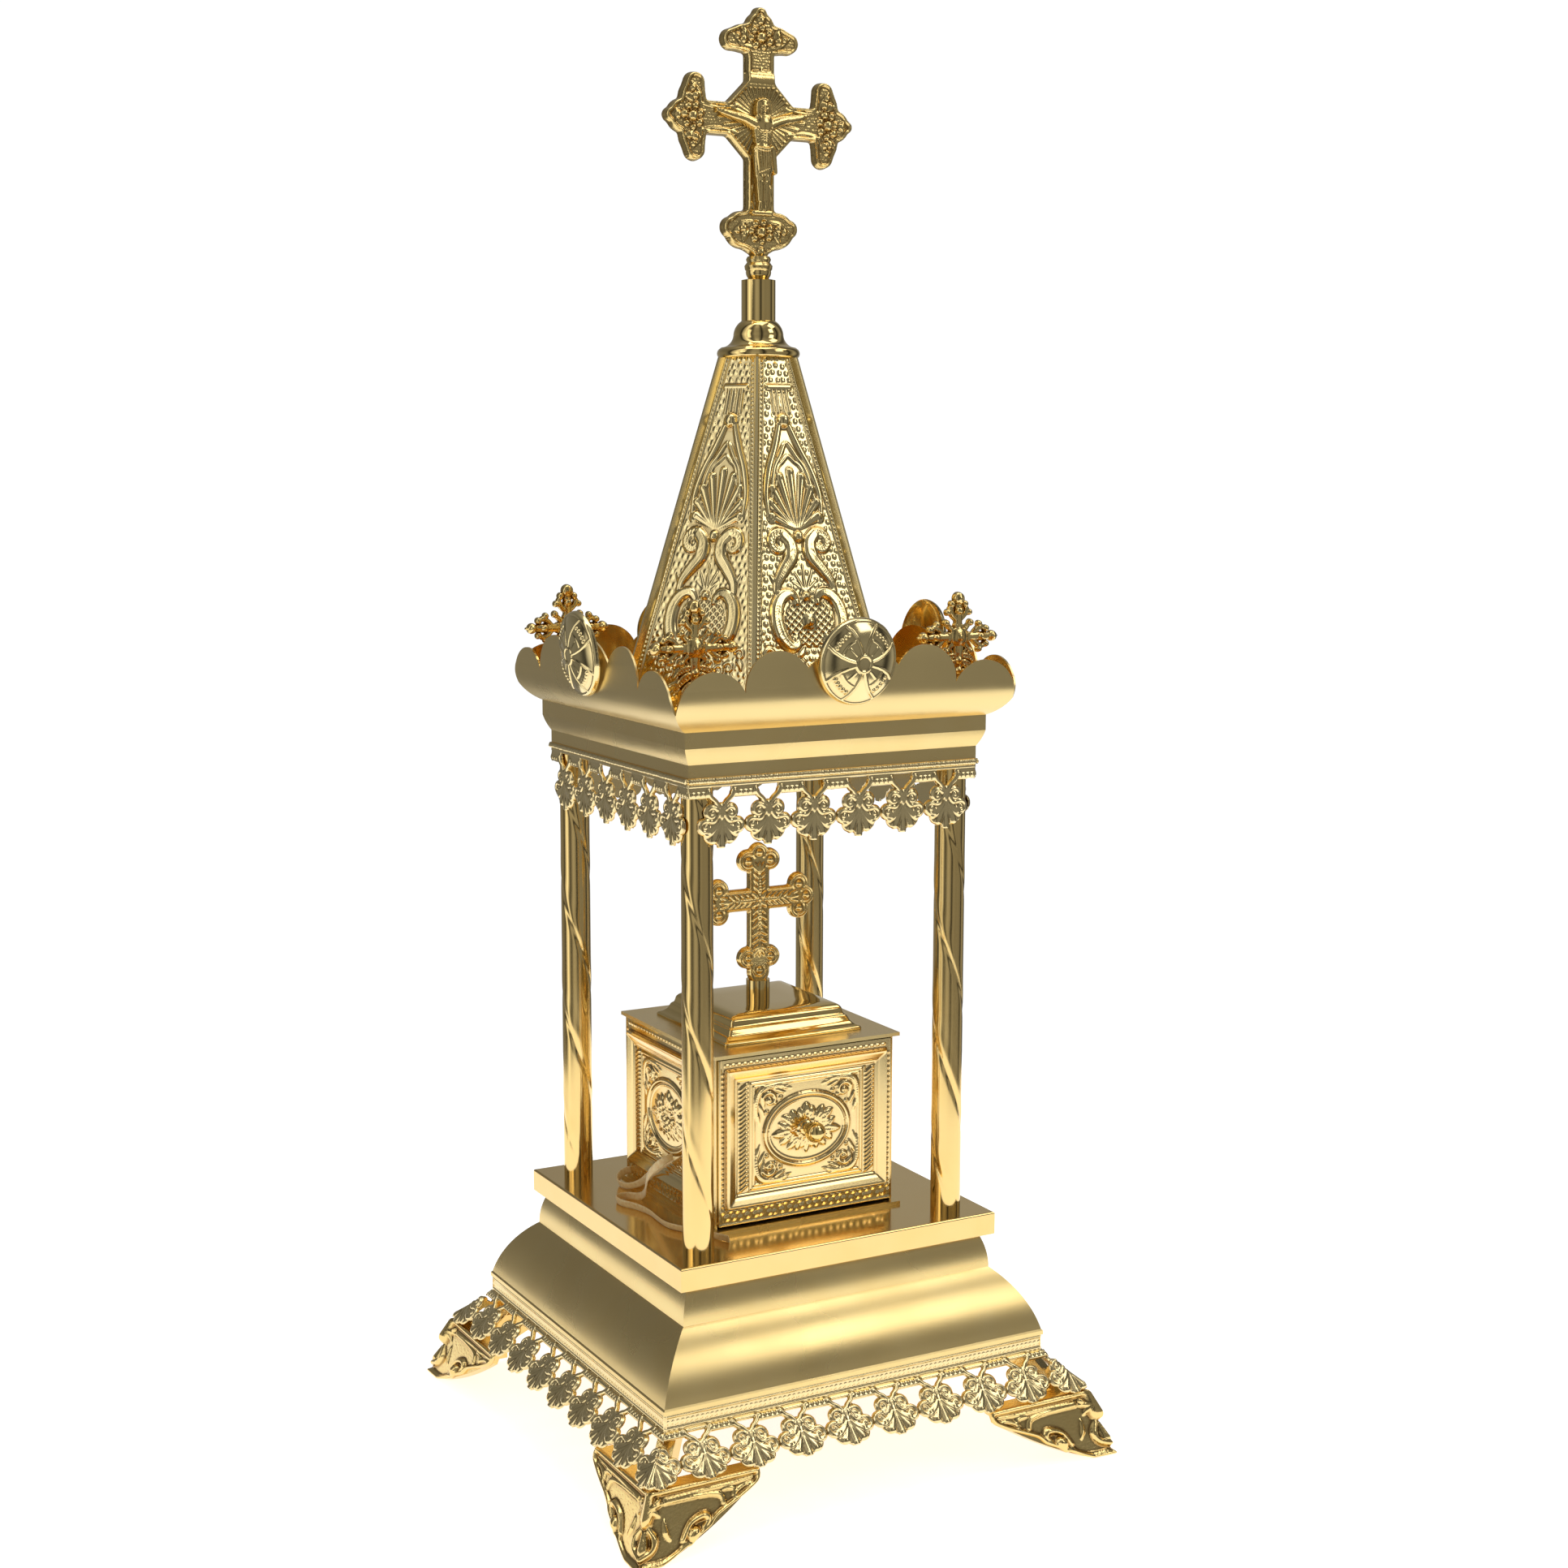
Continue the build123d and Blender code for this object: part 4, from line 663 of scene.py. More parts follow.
def softbox(name, place, target, size, power):
    """An area lamp, turned towards a point."""
    data = bpy.data.lights.new(name, "AREA")
    data.shape = "RECTANGLE"
    data.size, data.size_y = size
    data.energy = power
    lamp = bpy.data.objects.new(name, data)
    bpy.context.scene.collection.objects.link(lamp)
    lamp.location = place
    lamp.rotation_mode = "QUATERNION"
    lamp.rotation_quaternion = (Vector(target) - Vector(place)).to_track_quat("-Z", "Y")


def grey_ramp(tree, share, stops, ease):
    """Greys along a share: (share, grey) stops, in order."""
    node = tree.nodes.new("ShaderNodeValToRGB")
    ramp = node.color_ramp
    ramp.interpolation = ease
    ramp.elements[0].position, ramp.elements[1].position = stops[0][0], stops[-1][0]
    for place, _ in stops[1:-1]:
        ramp.elements.new(place)
    for element, (_, grey) in zip(ramp.elements, stops):
        element.color = (grey, grey, grey, 1)
    tree.links.new(share, node.inputs["Fac"])
    return node.outputs["Color"]


def make_world():
    """A pale studio: white to look at, with paler and darker walls for the metal to mirror."""
    world = bpy.data.worlds.new("studio")
    bpy.context.scene.world = world
    world.use_nodes = True
    tree = world.node_tree
    place = tree.nodes.new("ShaderNodeTexCoord")
    split = tree.nodes.new("ShaderNodeSeparateXYZ")
    tree.links.new(place.outputs["Generated"], split.inputs[0])
    turn = tree.nodes.new("ShaderNodeMath")
    turn.operation = "ARCTAN2"
    tree.links.new(split.outputs["Y"], turn.inputs[0])
    tree.links.new(split.outputs["X"], turn.inputs[1])
    # share of a full turn, from -X round by -Y, +X and +Y
    walls = grey_ramp(tree, spread(tree, turn.outputs[0], 0.0, 1.0, -pi, pi), [
        (0.0, 2.6), (0.035, 0.9), (0.06, 0.14), (0.09, 0.30), (0.13, 0.75), (0.17, 0.70),
        (0.19, 0.40), (0.215, 0.06), (0.25, 0.52), (0.30, 0.44), (0.36, 0.46), (0.41, 0.40),
        (0.435, 0.06), (0.50, 0.70), (0.56, 0.15), (0.66, 0.85), (0.72, 0.50), (0.82, 0.40),
        (0.88, 0.36), (0.93, 0.08), (0.965, 1.3), (1.0, 2.6)], "EASE")
    # share of the way from straight down to straight up
    roof = grey_ramp(tree, spread(tree, split.outputs["Z"], 0.0, 1.0, -1, 1), [
        (0.30, 0.75), (0.42, 1.0), (0.55, 0.98), (0.62, 0.80), (0.74, 0.72), (0.86, 0.85),
        (0.93, 1.25), (1.0, 1.3)], "LINEAR")
    mirrored_room = blended(tree, 1.0, walls, roof, "MULTIPLY")
    path = tree.nodes.new("ShaderNodeLightPath")
    seen = blended(tree, path.outputs["Is Camera Ray"], mirrored_room, (2.0, 2.0, 2.0))
    sky = tree.nodes["Background"]
    tree.links.new(seen, sky.inputs["Color"])
    sky.inputs["Strength"].default_value = 0.52


make_camera()
make_floor()
make_world()
softbox("key", (1.2, -1.6, 1.5), (0, 0, 0.3), (0.8, 0.8), 5)
softbox("fill", (-1.7, -0.5, 1.1), (0, 0, 0.25), (0.5, 1.1), 2)
softbox("top", (0.1, 0.1, 2.2), (0, 0, 0.3), (1.2, 1.2), 9)
softbox("front_top", (0.78, -0.38, 1.45), (0, -0.1, 0.06), (0.6, 0.5), 2)
bpy.context.scene.view_settings.view_transform = "Standard"


# ---------------------------------------------------------------------------------- spire
def spire_ornament(c, height):
    """One side of the spire, from the garland at its foot to the dots under the cap."""
    half = c.x[:, -1:]
    for inset, rise in ((2.1, 0.55), (0.7, 0.4)):
        c.h = np.maximum(c.h, ridge(half - abs(c.x) - inset, 0.38, rise))
    for y in np.arange(2.0, height - 1, 1.7):
        c.bead(np.interp(y, c.rows, half[:, 0]) - 1.4, y, 0.55, 0.8, both=True)

    # garland: two swags of leaves, a hanging fan, small scrolls
    c.stroke(arc(0, 24, 5.5, 200, 340, 12, 1.2), [0.5, 1.0, 0.5], 0.8)
    for step in range(4):
        x = 7.0 + 4.1 * step
        y = 20.5 - 4.2 * sin(step / 3 * pi) + 1.5 * step
        c.stroke(volute(x, y, 2.2, 160, 1.2, -1), [0.75, 0.5], 0.95, both=True)
        c.leaf((x - 1.0, y - 2.2), (x + 1.6, y - 6.4), 1.25, 0.6, 0.2, both=True)
        c.bead(x, y, 0.7, both=True)
    for angle in range(-60, 61, 20):
        tip = (11.5 * sin(radians(angle)), 17 - 11.5 * cos(radians(angle)))
        c.stroke([(0, 17), tip], [0.5, 1.3], 0.55)
        c.bead(*tip, 1.0)
    c.bead(0, 17.5, 1.6)
    c.leaf((3, 9), (12, 3.2), 1.6, 0.5, 0.25, both=True)
    c.stroke(volute(15.5, 6.5, 2.6, 120, 1.1), [0.8, 0.5], 0.9, both=True)

    # cartouche: lattice and rosette between two double C-scrolls
    middle = 36.6
    inner = (abs(c.x) / 10.4) ** 2 + ((c.y - middle) / 9.4) ** 2 < 1
    weave = 0.0
    for way in (-1, 1):
        phase = ((c.x * 0.9 + way * (c.y - middle)) / 2.9) % 1.0 - 0.5
        weave = np.maximum(weave, ridge(phase, 0.26, 0.42))
    c.h = np.where(inner, weave, c.h)
    c.bead(0, middle, 3.3, 0.35)
    c.bead(0, middle, 1.9, 0.95)
    side = smooth([(4.2, 44.6), (6.6, 47.2), (10.4, 46.4), (13.4, 42.4), (14.2, 36.5),
                   (12.8, 31.0), (9.6, 27.6), (6.4, 28.4), (6.6, 31.0)], 6)
    c.stroke(side, [1.1, 2.2, 2.8, 2.8, 2.2, 1.1], 0.7, groove=0.7, both=True)
    c.bead(4.6, 43.8, 1.2, both=True)
    c.bead(7.2, 30.2, 1.25, both=True)
    c.leaf((3.4, 27.2), (10.5, 24.2), 1.2, 0.6, -0.2, both=True)
    c.bead(0, 46.2, 1.7, 1.0)
    c.stroke(arc(0, 46.2, 2.6, 20, 160), 0.45, 0.8)
    for angle, reach in ((-52, 6.2), (-27, 8.4), (0, 10.4)):
        tip = (reach * sin(radians(angle)), 47.8 + reach * cos(radians(angle)))
        c.stroke([(tip[0] * 0.15, 48.4), tip], [0.6, 1.35, 0.35], 0.7, both=angle != 0)

    # S-scrolls with volutes curling outwards
    sweep = smooth([(12.6, 46.8), (11.6, 51.5), (8.2, 56.4), (4.6, 61.0), (4.2, 66.0),
                    (6.6, 69.2)], 7)
    curl = volute(8.9, 66.2, 3.9, 118, 1.25, -1)
    c.stroke(np.vstack([sweep, curl]), [1.1, 2.2, 3.0, 2.5, 1.6, 0.9], 0.74, groove=0.6, both=True)
    c.bead(8.7, 65.9, 1.0, both=True)
    c.leaf((11.8, 50.0), (14.8, 55.0), 0.9, 0.6, both=True)
    c.bead(0, 68.6, 2.1, 0.95)

    # shell under its hood
    for index in range(-4, 5):
        angle = radians(index * 17.5)
        reach = 21.5 - 1.05 * abs(index) ** 1.45
        tip = (reach * 0.78 * sin(angle), 71.6 + reach * cos(angle))
        c.stroke([(0.12 * tip[0], 71.6), tip], [0.4, 1.2, 1.9, 1.75], 0.72)
        c.bead(*tip, 1.5, 0.95)
    for inset, width in ((0.0, 1.5), (2.6, 1.0), (4.3, 0.7)):
        hood = smooth([(11.4 - 0.9 * inset, 76.0 + inset), (11.6 - inset, 84.5),
                       (9.0 - 0.85 * inset, 94.0), (5.6 - 0.75 * inset, 101.5 - inset),
                       (2.9 - 0.6 * inset, 108.5 - 2.2 * inset),
                       (1.9 - 0.55 * inset, 111.6 - 3.0 * inset)], 7)
        c.stroke(hood, [0.5 * width, width, width, 0.7 * width], 0.9, both=True)
    c.stroke(volute(10.2, 75.6, 1.9, 60, 1.0, -1), [0.7, 0.4], 0.9, both=True)
    c.bead(0, 112.6, 2.8, 0.95)
    c.stroke(arc(0, 112.6, 3.1, 150, 390), 0.35, 0.9)
    for x in (1.3, 3.4):
        c.stroke([(x, 115.6), (x * 0.9, 124.4)], 0.7, 0.85, both=True)
    c.stroke([(-4.8, 125.4), (4.8, 125.4)], 1.1, 0.8)
    c.stroke([(-3.6, 123.6), (3.6, 123.6)], 0.4, 0.8)
    hood_half = np.interp(c.rows, (70, 72, 84, 94, 101, 108, 113, 114),
                          (0, 12.6, 12.6, 10.6, 7.2, 4.4, 2.4, 0))[:, None]
    c.pebbles(2.7, 0.24, c.free(2) & (abs(c.x) < half - 2.8) & (abs(c.x) > hood_half), seed=4)


def make_spire():
    """Six embossed panels on the faces of the spire, between its seam ribs."""
    low, high = box_mm("spire_panel_1")
    foot_out, top_out = level("spire_panel_1", low[2]), level("spire_panel_1", high[2])
    height = high[2] - low[2]
    foot_half, top_half = foot_out / sqrt(3), top_out / sqrt(3)
    rows, columns, seam = np.linspace(0, height, 430), 181, 0.35
    halves = foot_half + (top_half - foot_half) * rows / height - seam
    x = np.linspace(-1, 1, columns)[None, :] * halves[:, None]
    c = Canvas(x, np.repeat(rows[:, None], columns, 1))
    spire_ornament(c, height)
    c.soften(1)
    run = (foot_out - top_out) / height
    slant = sqrt(1 + run * run)

    def place(x, y, h):
        out = foot_out - run * y + h / slant
        return x, -out, low[2] + y + h * run / slant

    mesh = plate("spire_relief", c, place, 0.8)
    for number in range(6):
        piece(mesh, EMBOSSED, turn=number * 60.0,
              replaces=[f"spire_panel_{number + 1}"], name=f"spire_relief_{number + 1}")


# -------------------------------------------------------------------------- pierced borders
def pendant(c, pitch, band, drop):
    """One hanging palmette at x = 0, with half of a beaded link on each side of it."""
    half = pitch / 2
    w, d = pitch / 19.6, (drop - band) / 18.3

    def at(x, y):
        return x * w, -band - (y - 5.7) * d

    c.stroke([(-half, -0.8), (half, -0.8)], 0.95, 0.35, solid=True)
    for side in (-1, 1):
        for up, wide, rise in ((1.5, 1.65, 0.3), (3.2, 1.2, 0.2)):
            c.stroke([(side * half, -band + up), (side * (half - 4.6 * w), -band + up)],
                     wide, rise, solid=True)
    for x in (half - 0.1, half - 2.0 * w, half - 3.9 * w):
        c.bead(x, -band + 1.6, 0.72, 1.0, base=0.25, both=True)
    strut = smooth([(half - 4.4 * w, -band + 2.2), at(4.0, 5.6), at(2.2, 7.2), at(0.9, 9.2)], 5)
    c.stroke(strut, [1.25, 1.05, 1.1], 0.75, solid=True, both=True)

    c.stroke([at(0, 8.6), at(0, 15.2)], [1.2, 2.1, 1.6], 0.25, solid=True)
    c.bead(*at(3.8, 11.0), 3.4 * w, 0.06, solid=True, both=True)
    c.bead(*at(6.7, 16.2), 3.35 * w, 0.06, solid=True, both=True)
    for x, y, reach in ((0, 19.4, 4.4), (3.6, 19.2, 3.7), (-3.6, 19.2, 3.7), (0, 15.5, 4.6)):
        c.bead(*at(x, y), reach * w, 0.05, solid=True)

    c.stroke(volute(*at(4.0, 11.3), 2.45 * w, 150, 1.35, -1), [0.75, 0.5], 1.0, base=0.1,
             both=True)
    c.bead(*at(4.1, 11.4), 0.8, 1.0, base=0.15, both=True)
    c.stroke(smooth([at(0.7, 9.0), at(1.6, 12.0), at(3.4, 14.4), at(6.4, 13.5)], 5),
             [0.5, 0.8, 0.6], 0.9, base=0.1, both=True)
    c.stroke(volute(*at(6.8, 16.4), 2.55 * w, 120, 1.35, -1), [0.8, 0.5], 1.0, base=0.1,
             both=True)
    c.bead(*at(6.9, 16.4), 0.85, 1.0, base=0.15, both=True)
    c.stroke(smooth([at(0.9, 14.2), at(2.6, 17.0), at(5.6, 19.4), at(8.0, 18.6)], 5),
             [0.5, 0.75, 0.5], 0.9, base=0.1, both=True)
    c.leaf(at(0, 8.4), at(0, 14.6), 1.35, 0.6, base=0.15)
    for angle, reach in ((-56, 7.4), (-29, 8.6), (0, 9.6)):
        tip = at(reach * 0.86 * sin(radians(angle)), 14.0 + reach * cos(radians(angle)))
        c.stroke([at(0, 14.0), tip], [0.5, 1.0, 1.7], 0.42, base=0.1, solid=True, both=angle != 0)
        c.bead(*tip, 1.15, 0.75, base=0.1, solid=True, both=angle != 0)


def repeated(unit, pitch, count, first):
    """A row of equal canvases side by side."""
    columns = unit.x.shape[1] - 1
    across = first - pitch / 2 + np.arange(columns * count + 1) * pitch / columns
    row = Canvas(*np.meshgrid(across, unit.rows))
    row.h = np.concatenate([unit.h[:, :-1]] * count + [unit.h[:, :1]], 1)
    row.body = np.concatenate([unit.body[:, :-1]] * count + [unit.body[:, :1]], 1)
    return row


def make_upper_borders():
    """Six pendants on a side; past them only the border's upper band goes on to the corner."""
    low, high = box_mm("upper_border_front")
    half, drop = high[0], high[2] - low[2]
    pitch, band = 19.6, 5.7
    unit = Canvas.flat((-pitch / 2, -drop - 0.4), (pitch / 2, 0), 0.26)
    pendant(unit, pitch, band, drop)
    unit.soften(1)
    row = repeated(unit, pitch, 8, -3.5 * pitch)
    beyond = (abs(row.x) > 3 * pitch) & (row.y < -band)
    row.body = np.where(beyond, np.minimum(row.body, 3 * pitch - abs(row.x)), row.body)
    row.body = np.minimum(row.body, half - abs(row.x))
    mesh = plate("upper_border", row, upright(-low[1], high[2]), 0.7, 0.5, outline=True)
    on_four_sides(mesh, PIERCED, "upper_border_{}_relief", ["upper_border_{}"])


def make_lower_borders():
    """Ten pendants on the slope outwards, under an upright band of small scrolls."""
    low, high = box_mm("lower_border_front")
    half = box_mm("base_moulding_front")[1][0] - 0.6
    fold = high[2] - LOWER_BAND
    drop = (fold - low[2]) * sqrt(2) - 0.8
    pitch, band = 20.4, 3.2
    unit = Canvas.flat((-pitch / 2, -drop - 0.4), (pitch / 2, LOWER_BAND), 0.26)
    pendant(unit, pitch, band, drop)
    unit.body = np.where(unit.y > -0.6, 5.0, unit.body)
    for y in (LOWER_BAND - 0.8, 0.9):
        unit.stroke([(-pitch / 2, y), (pitch / 2, y)], 0.5, 0.8)
    for x in np.arange(-4.5, 5.0) * pitch / 10:
        unit.stroke(volute(x, 3.1, 0.8, 0, 0.8), 0.28, 0.9)
        unit.bead(x + pitch / 20, 2.4, 0.4)
    unit.soften(1)
    row = repeated(unit, pitch, 10, -4.5 * pitch)
    out = half + np.maximum(-row.y, 0) / sqrt(2)
    row.body = np.minimum(row.body, (out + 0.3 - abs(row.x)) * 0.7)

    def place(x, y, h):
        hang = np.maximum(-y, 0) / sqrt(2)
        turned = np.clip(-y / 0.6, 0, 1) / sqrt(2)
        outwards = np.where(y < 0, np.sqrt(1 - turned**2), 1)
        return x, -(half + hang + h * outwards), fold + np.maximum(y, 0) - hang + h * turned

    mesh = plate("lower_border", row, place, 0.7, 0.5, outline=True)
    on_four_sides(mesh, PIERCED, "lower_border_{}_relief", ["lower_border_{}"])


# ------------------------------------------------------------------------------ columns
def make_columns():
    """Polished tube with two shallow creases wound round it."""
    low, high = box_mm("column_front_right")
    middle = (low + high) / 2
    radius, wall, lead = (high[0] - low[0]) / 2, 1.0, 48.0
    rows, steps = 420, 72
    height = np.linspace(low[2], high[2], rows)[:, None]
    turn = np.linspace(0, 2 * pi, steps, endpoint=False)[None, :]
    phase = (2 * turn / (2 * pi) + height / lead) % 1.0
    fade = np.clip((height - low[2] - 9) / 8, 0, 1) * np.clip((high[2] - height - 4) / 8, 0, 1)
    crease = (0.3 * np.exp(-((phase - 0.5) / 0.05) ** 2)
              - 0.08 * np.exp(-((phase - 0.63) / 0.09) ** 2))

    def around(r):
        return np.stack([middle[0] + r * np.cos(turn), middle[1] + r * np.sin(turn),
                         height + 0 * turn], -1)

    ids = np.arange(rows * steps).reshape(rows, steps)
    bore = ids[:2] + rows * steps
    rings = np.stack([bore[1], bore[0], ids[0]]), np.stack([ids[-1], bore[1]])
    quads = [ring_quads(rows, steps)]
    for ring in rings:
        after = np.roll(ring, -1, 1)
        quads.append(np.stack([ring[:-1], after[:-1], after[1:], ring[1:]], -1).reshape(-1, 4))
    points = np.vstack([around(radius - crease * fade).reshape(-1, 3),
                        around(radius - wall + 0 * height)[[0, -1]].reshape(-1, 3)])
    mesh = make_mesh("column", points, np.vstack(quads), sharp=50)
    for corner, turned in {"front_right": 0, "back_right": 90, "back_left": 180,
                           "front_left": 270}.items():
        piece(mesh, TUBE_GOLD, turn=turned, replaces=[f"column_{corner}"],
              name=f"column_{corner}_tube")


# ---------------------------------------------------------------------------- medallions
def medallion_ornament(c, radius):
    """Four flared arms like spokes, a boss, and beads between the arms."""
    c.body = radius - np.hypot(c.x, c.y)
    c.stroke(arc(0, 0, 3.1, 0, 360, 30), 0.55, 0.9)
    c.stroke(arc(0, 0, radius - 0.7, 0, 360, 60), 0.65, 0.8)
    flare = ((3.4, 12), (6.5, 14), (9.5, 17), (12.5, 21), (radius - 1.0, 26))
    for arm in (0, 90, 180, 270):
        for way in (-1, 1):
            c.stroke([polar(reach, arm + way * angle) for reach, angle in flare], [0.4, 0.5], 0.95)
        c.stroke(arc(0, 0, 9.2, arm + 24, arm + 66, 10), 0.36, 0.9)
        for angle in (29, 37, 45, 53, 61):
            c.bead(*polar(12.3, arm + angle), 0.75, 0.9)
        c.stroke([polar(4.4, arm + 45), polar(8.2, arm + 45)], 0.3, 0.9)


def make_medallions():
    """Domed discs that lean out at the top, each with its stud behind it."""
    radius, rise, lean = MEDALLION_RADIUS, MEDALLION_RISE, MEDALLION_LEAN
    points = vertices("medallions")
    front = points[points[:, 1] < -70]      # the front one's
    centre_z = (front[:, 2].max() + front[:, 2].min()) / 2
    rim_out = -front[:, 1].min() - rise * cos(lean)
    c = Canvas.flat((-radius - 0.3, -radius - 0.3), (radius + 0.3, radius + 0.3), 0.2)
    medallion_ornament(c, radius)
    c.soften(1)

    def place(x, y, h):
        share = np.clip(np.hypot(x, y) / radius, 0, 1)
        dome = (rise - 0.8) * np.sqrt(np.clip(1 - share**2 * 0.96, 0, 1)) ** 1.3
        depth = dome + h
        out = rim_out + y * sin(lean) + depth * cos(lean)
        return x, -out, centre_z + y * cos(lean) - depth * sin(lean)

    mesh = plate("medallion", c, place, 0.7, 0.5, outline=True)
    on_four_sides(mesh, EMBOSSED, "medallion_{}", ["medallions"])
    stud = lathe("medallion_stud", [(0.01, 0.0), (2.4, 0.0), (2.4, 5.2), (0.01, 5.2)], 24)
    for side, turn in SIDES.items():
        piece(stud, SATIN, name=f"medallion_stud_{side}", turn=turn, tip=90,
              at=(*polar(rim_out - 2.4, turn - 90), centre_z - 2.0))


# ---------------------------------------------------------------------------------- feet
def foot_ornament(c):
    """Half a foot: x from the corner out along the wing, y up its slope."""
    edge = np.array([(-6.0, -0.4), (9.5, 0.0), (13.5, 1.6), (18.5, 4.3), (20.5, 4.6),
                     (23.5, 7.2), (27.5, 9.6), (29.5, 12.4), (33.5, 14.6), (38.5, 17.0),
                     (43.0, 19.6), (45.4, 21.6), (45.8, 24.0), (44.8, 26.6), (-6.0, 27.0)])
    c.inside(smooth(edge[1:-1], 4), edge[[0, -1]])
    c.h = np.where(c.y < 25, ridge(c.body - 0.9, 0.9, 1.05), 0)
    c.stroke([(-1, 25.5), (44.5, 25.5)], 1.15, 0.8)
    c.stroke([(6.5, 22.6), (33, 22.9), (42.5, 23.4)], [0.7, 0.55], 0.8)
    c.stroke(smooth([(7.2, 21.6), (20.5, 21.4), (29.0, 20.2), (31.8, 16.8)], 6),
             [0.8, 0.7, 0.9], 0.8)
    c.stroke(smooth([(30.5, 21.6), (34.8, 21.2), (36.0, 18.0)], 5), [0.6, 0.8], 0.8)
    c.stroke(smooth([(35.5, 19.4), (39.0, 21.2), (42.0, 21.6)], 5), [1.0, 0.7], 0.6)
    # leaf folded over the corner, with a star of tips
    c.stroke([(-0.6, 24.8), (-0.4, 17.5)], [2.6, 3.4], 0.62)
    for tip, wide in (((6.2, 21.4), 1.5), ((5.6, 17.2), 1.4), ((2.6, 13.8), 1.6)):
        c.stroke([(0.2, 20.6), tip], [2.2, 0.5 * wide, 0.3], 0.75)
    c.bead(3.8, 22.6, 1.2, 0.9)
    # drop with rolled edges, low at the corner
    c.stroke(smooth([(1.4, 14.4), (4.6, 9.8), (4.2, 6.2), (0.8, 4.4)], 6),
             [0.6, 1.35, 1.4, 1.3], 1.0)
    c.stroke([(0.6, 13.0), (0.6, 7.0)], [0.8, 2.2], 0.5)
    c.stroke(smooth([(7.4, 15.4), (8.8, 11.4), (11.4, 8.2)], 5), [0.5, 0.9, 0.3], 0.8)
    # curled lump on the lower edge
    c.stroke(smooth([(16.6, 7.4), (18.6, 12.4), (23.4, 14.2), (26.0, 12.6), (24.8, 10.2)], 6),
             [1.1, 1.4, 1.0], 0.95)
    c.bead(20.6, 8.6, 2.7, 0.8)
    c.stroke(smooth([(15.8, 4.2), (17.4, 6.0), (20.8, 6.2)], 4), [0.7, 1.0], 0.9)
    c.stroke(smooth([(2.0, 1.6), (6.0, 1.6), (10.5, 2.0)], 4), [0.9, 0.6], 0.5)


def make_feet():
    """Relief on the two outer faces of each foot, which meet at its corner."""
    low, _ = box_mm("foot_front_left")
    toe = -low[1]
    slant = sqrt((toe - FOOT_LEDGE) ** 2 + FOOT_RISE**2)
    lean_out, lean_up = (toe - FOOT_LEDGE) / slant, FOOT_RISE / slant
    c = Canvas.flat((0, 0), (FOOT_WING, FOOT_SLOPE), 0.3)
    foot_ornament(c)
    c.soften(2)
    c.h *= 1.35

    def place(x, y, h):
        h = h + 0.1
        out = toe - y * lean_out * slant / FOOT_SLOPE
        reach = np.clip(1 - x / 6, 0, 1)
        along = -(out - np.maximum(x, 0)) - h * lean_up * reach
        up = y * lean_up * slant / FOOT_SLOPE + h * lean_out * np.clip(y / 3, 0, 1)
        return along, -(out + h * lean_up), up

    def mirror_place(x, y, h):
        along, out, up = place(x, y, h)
        return out, along, up

    back = np.full(c.x.shape, -0.5)
    front = plate("foot_wing_front", c, place, 0.5, 0.7, outline=True, back=back)
    side = plate("foot_wing_side", c, mirror_place, 0.5, 0.7, outline=True, back=back)
    side.flip_normals()
    for corner, turn in CORNERS.items():
        for mesh, word in ((front, "front"), (side, "side")):
            piece(mesh, CAST, turn=turn, name=f"foot_{corner}_{word}_relief")


# ------------------------------------------------------------------------------- crosses
def end_frames(width, height, crossing):
    """The four ends of a cross, the foot second: tip, direction outwards, direction across."""
    return (((0, height), (0, 1), (1, 0)), ((0, 0), (0, -1), (1, 0)),
            ((-width / 2, crossing), (-1, 0), (0, 1)), ((width / 2, crossing), (1, 0), (0, 1)))


def spot(end, inward, across):
    """The point so far in from an end's tip, and to its side."""
    (tip_x, tip_y), (out_x, out_y), (side_x, side_y) = end
    return tip_x - inward * out_x + across * side_x, tip_y - inward * out_y + across * side_y


def both_faces(name, c, thickness, distance, height):
    """A cross whose relief stands on its front; its back is plain but rounded."""
    body = np.clip(c.body / 0.8, 0, 1)
    back = -thickness + 0.6 - 0.6 * np.sqrt(np.clip(1 - (1 - body) ** 2, 0, 1))
    return plate(name, c, upright(distance, height), thickness, 0.8, outline=True, back=back)


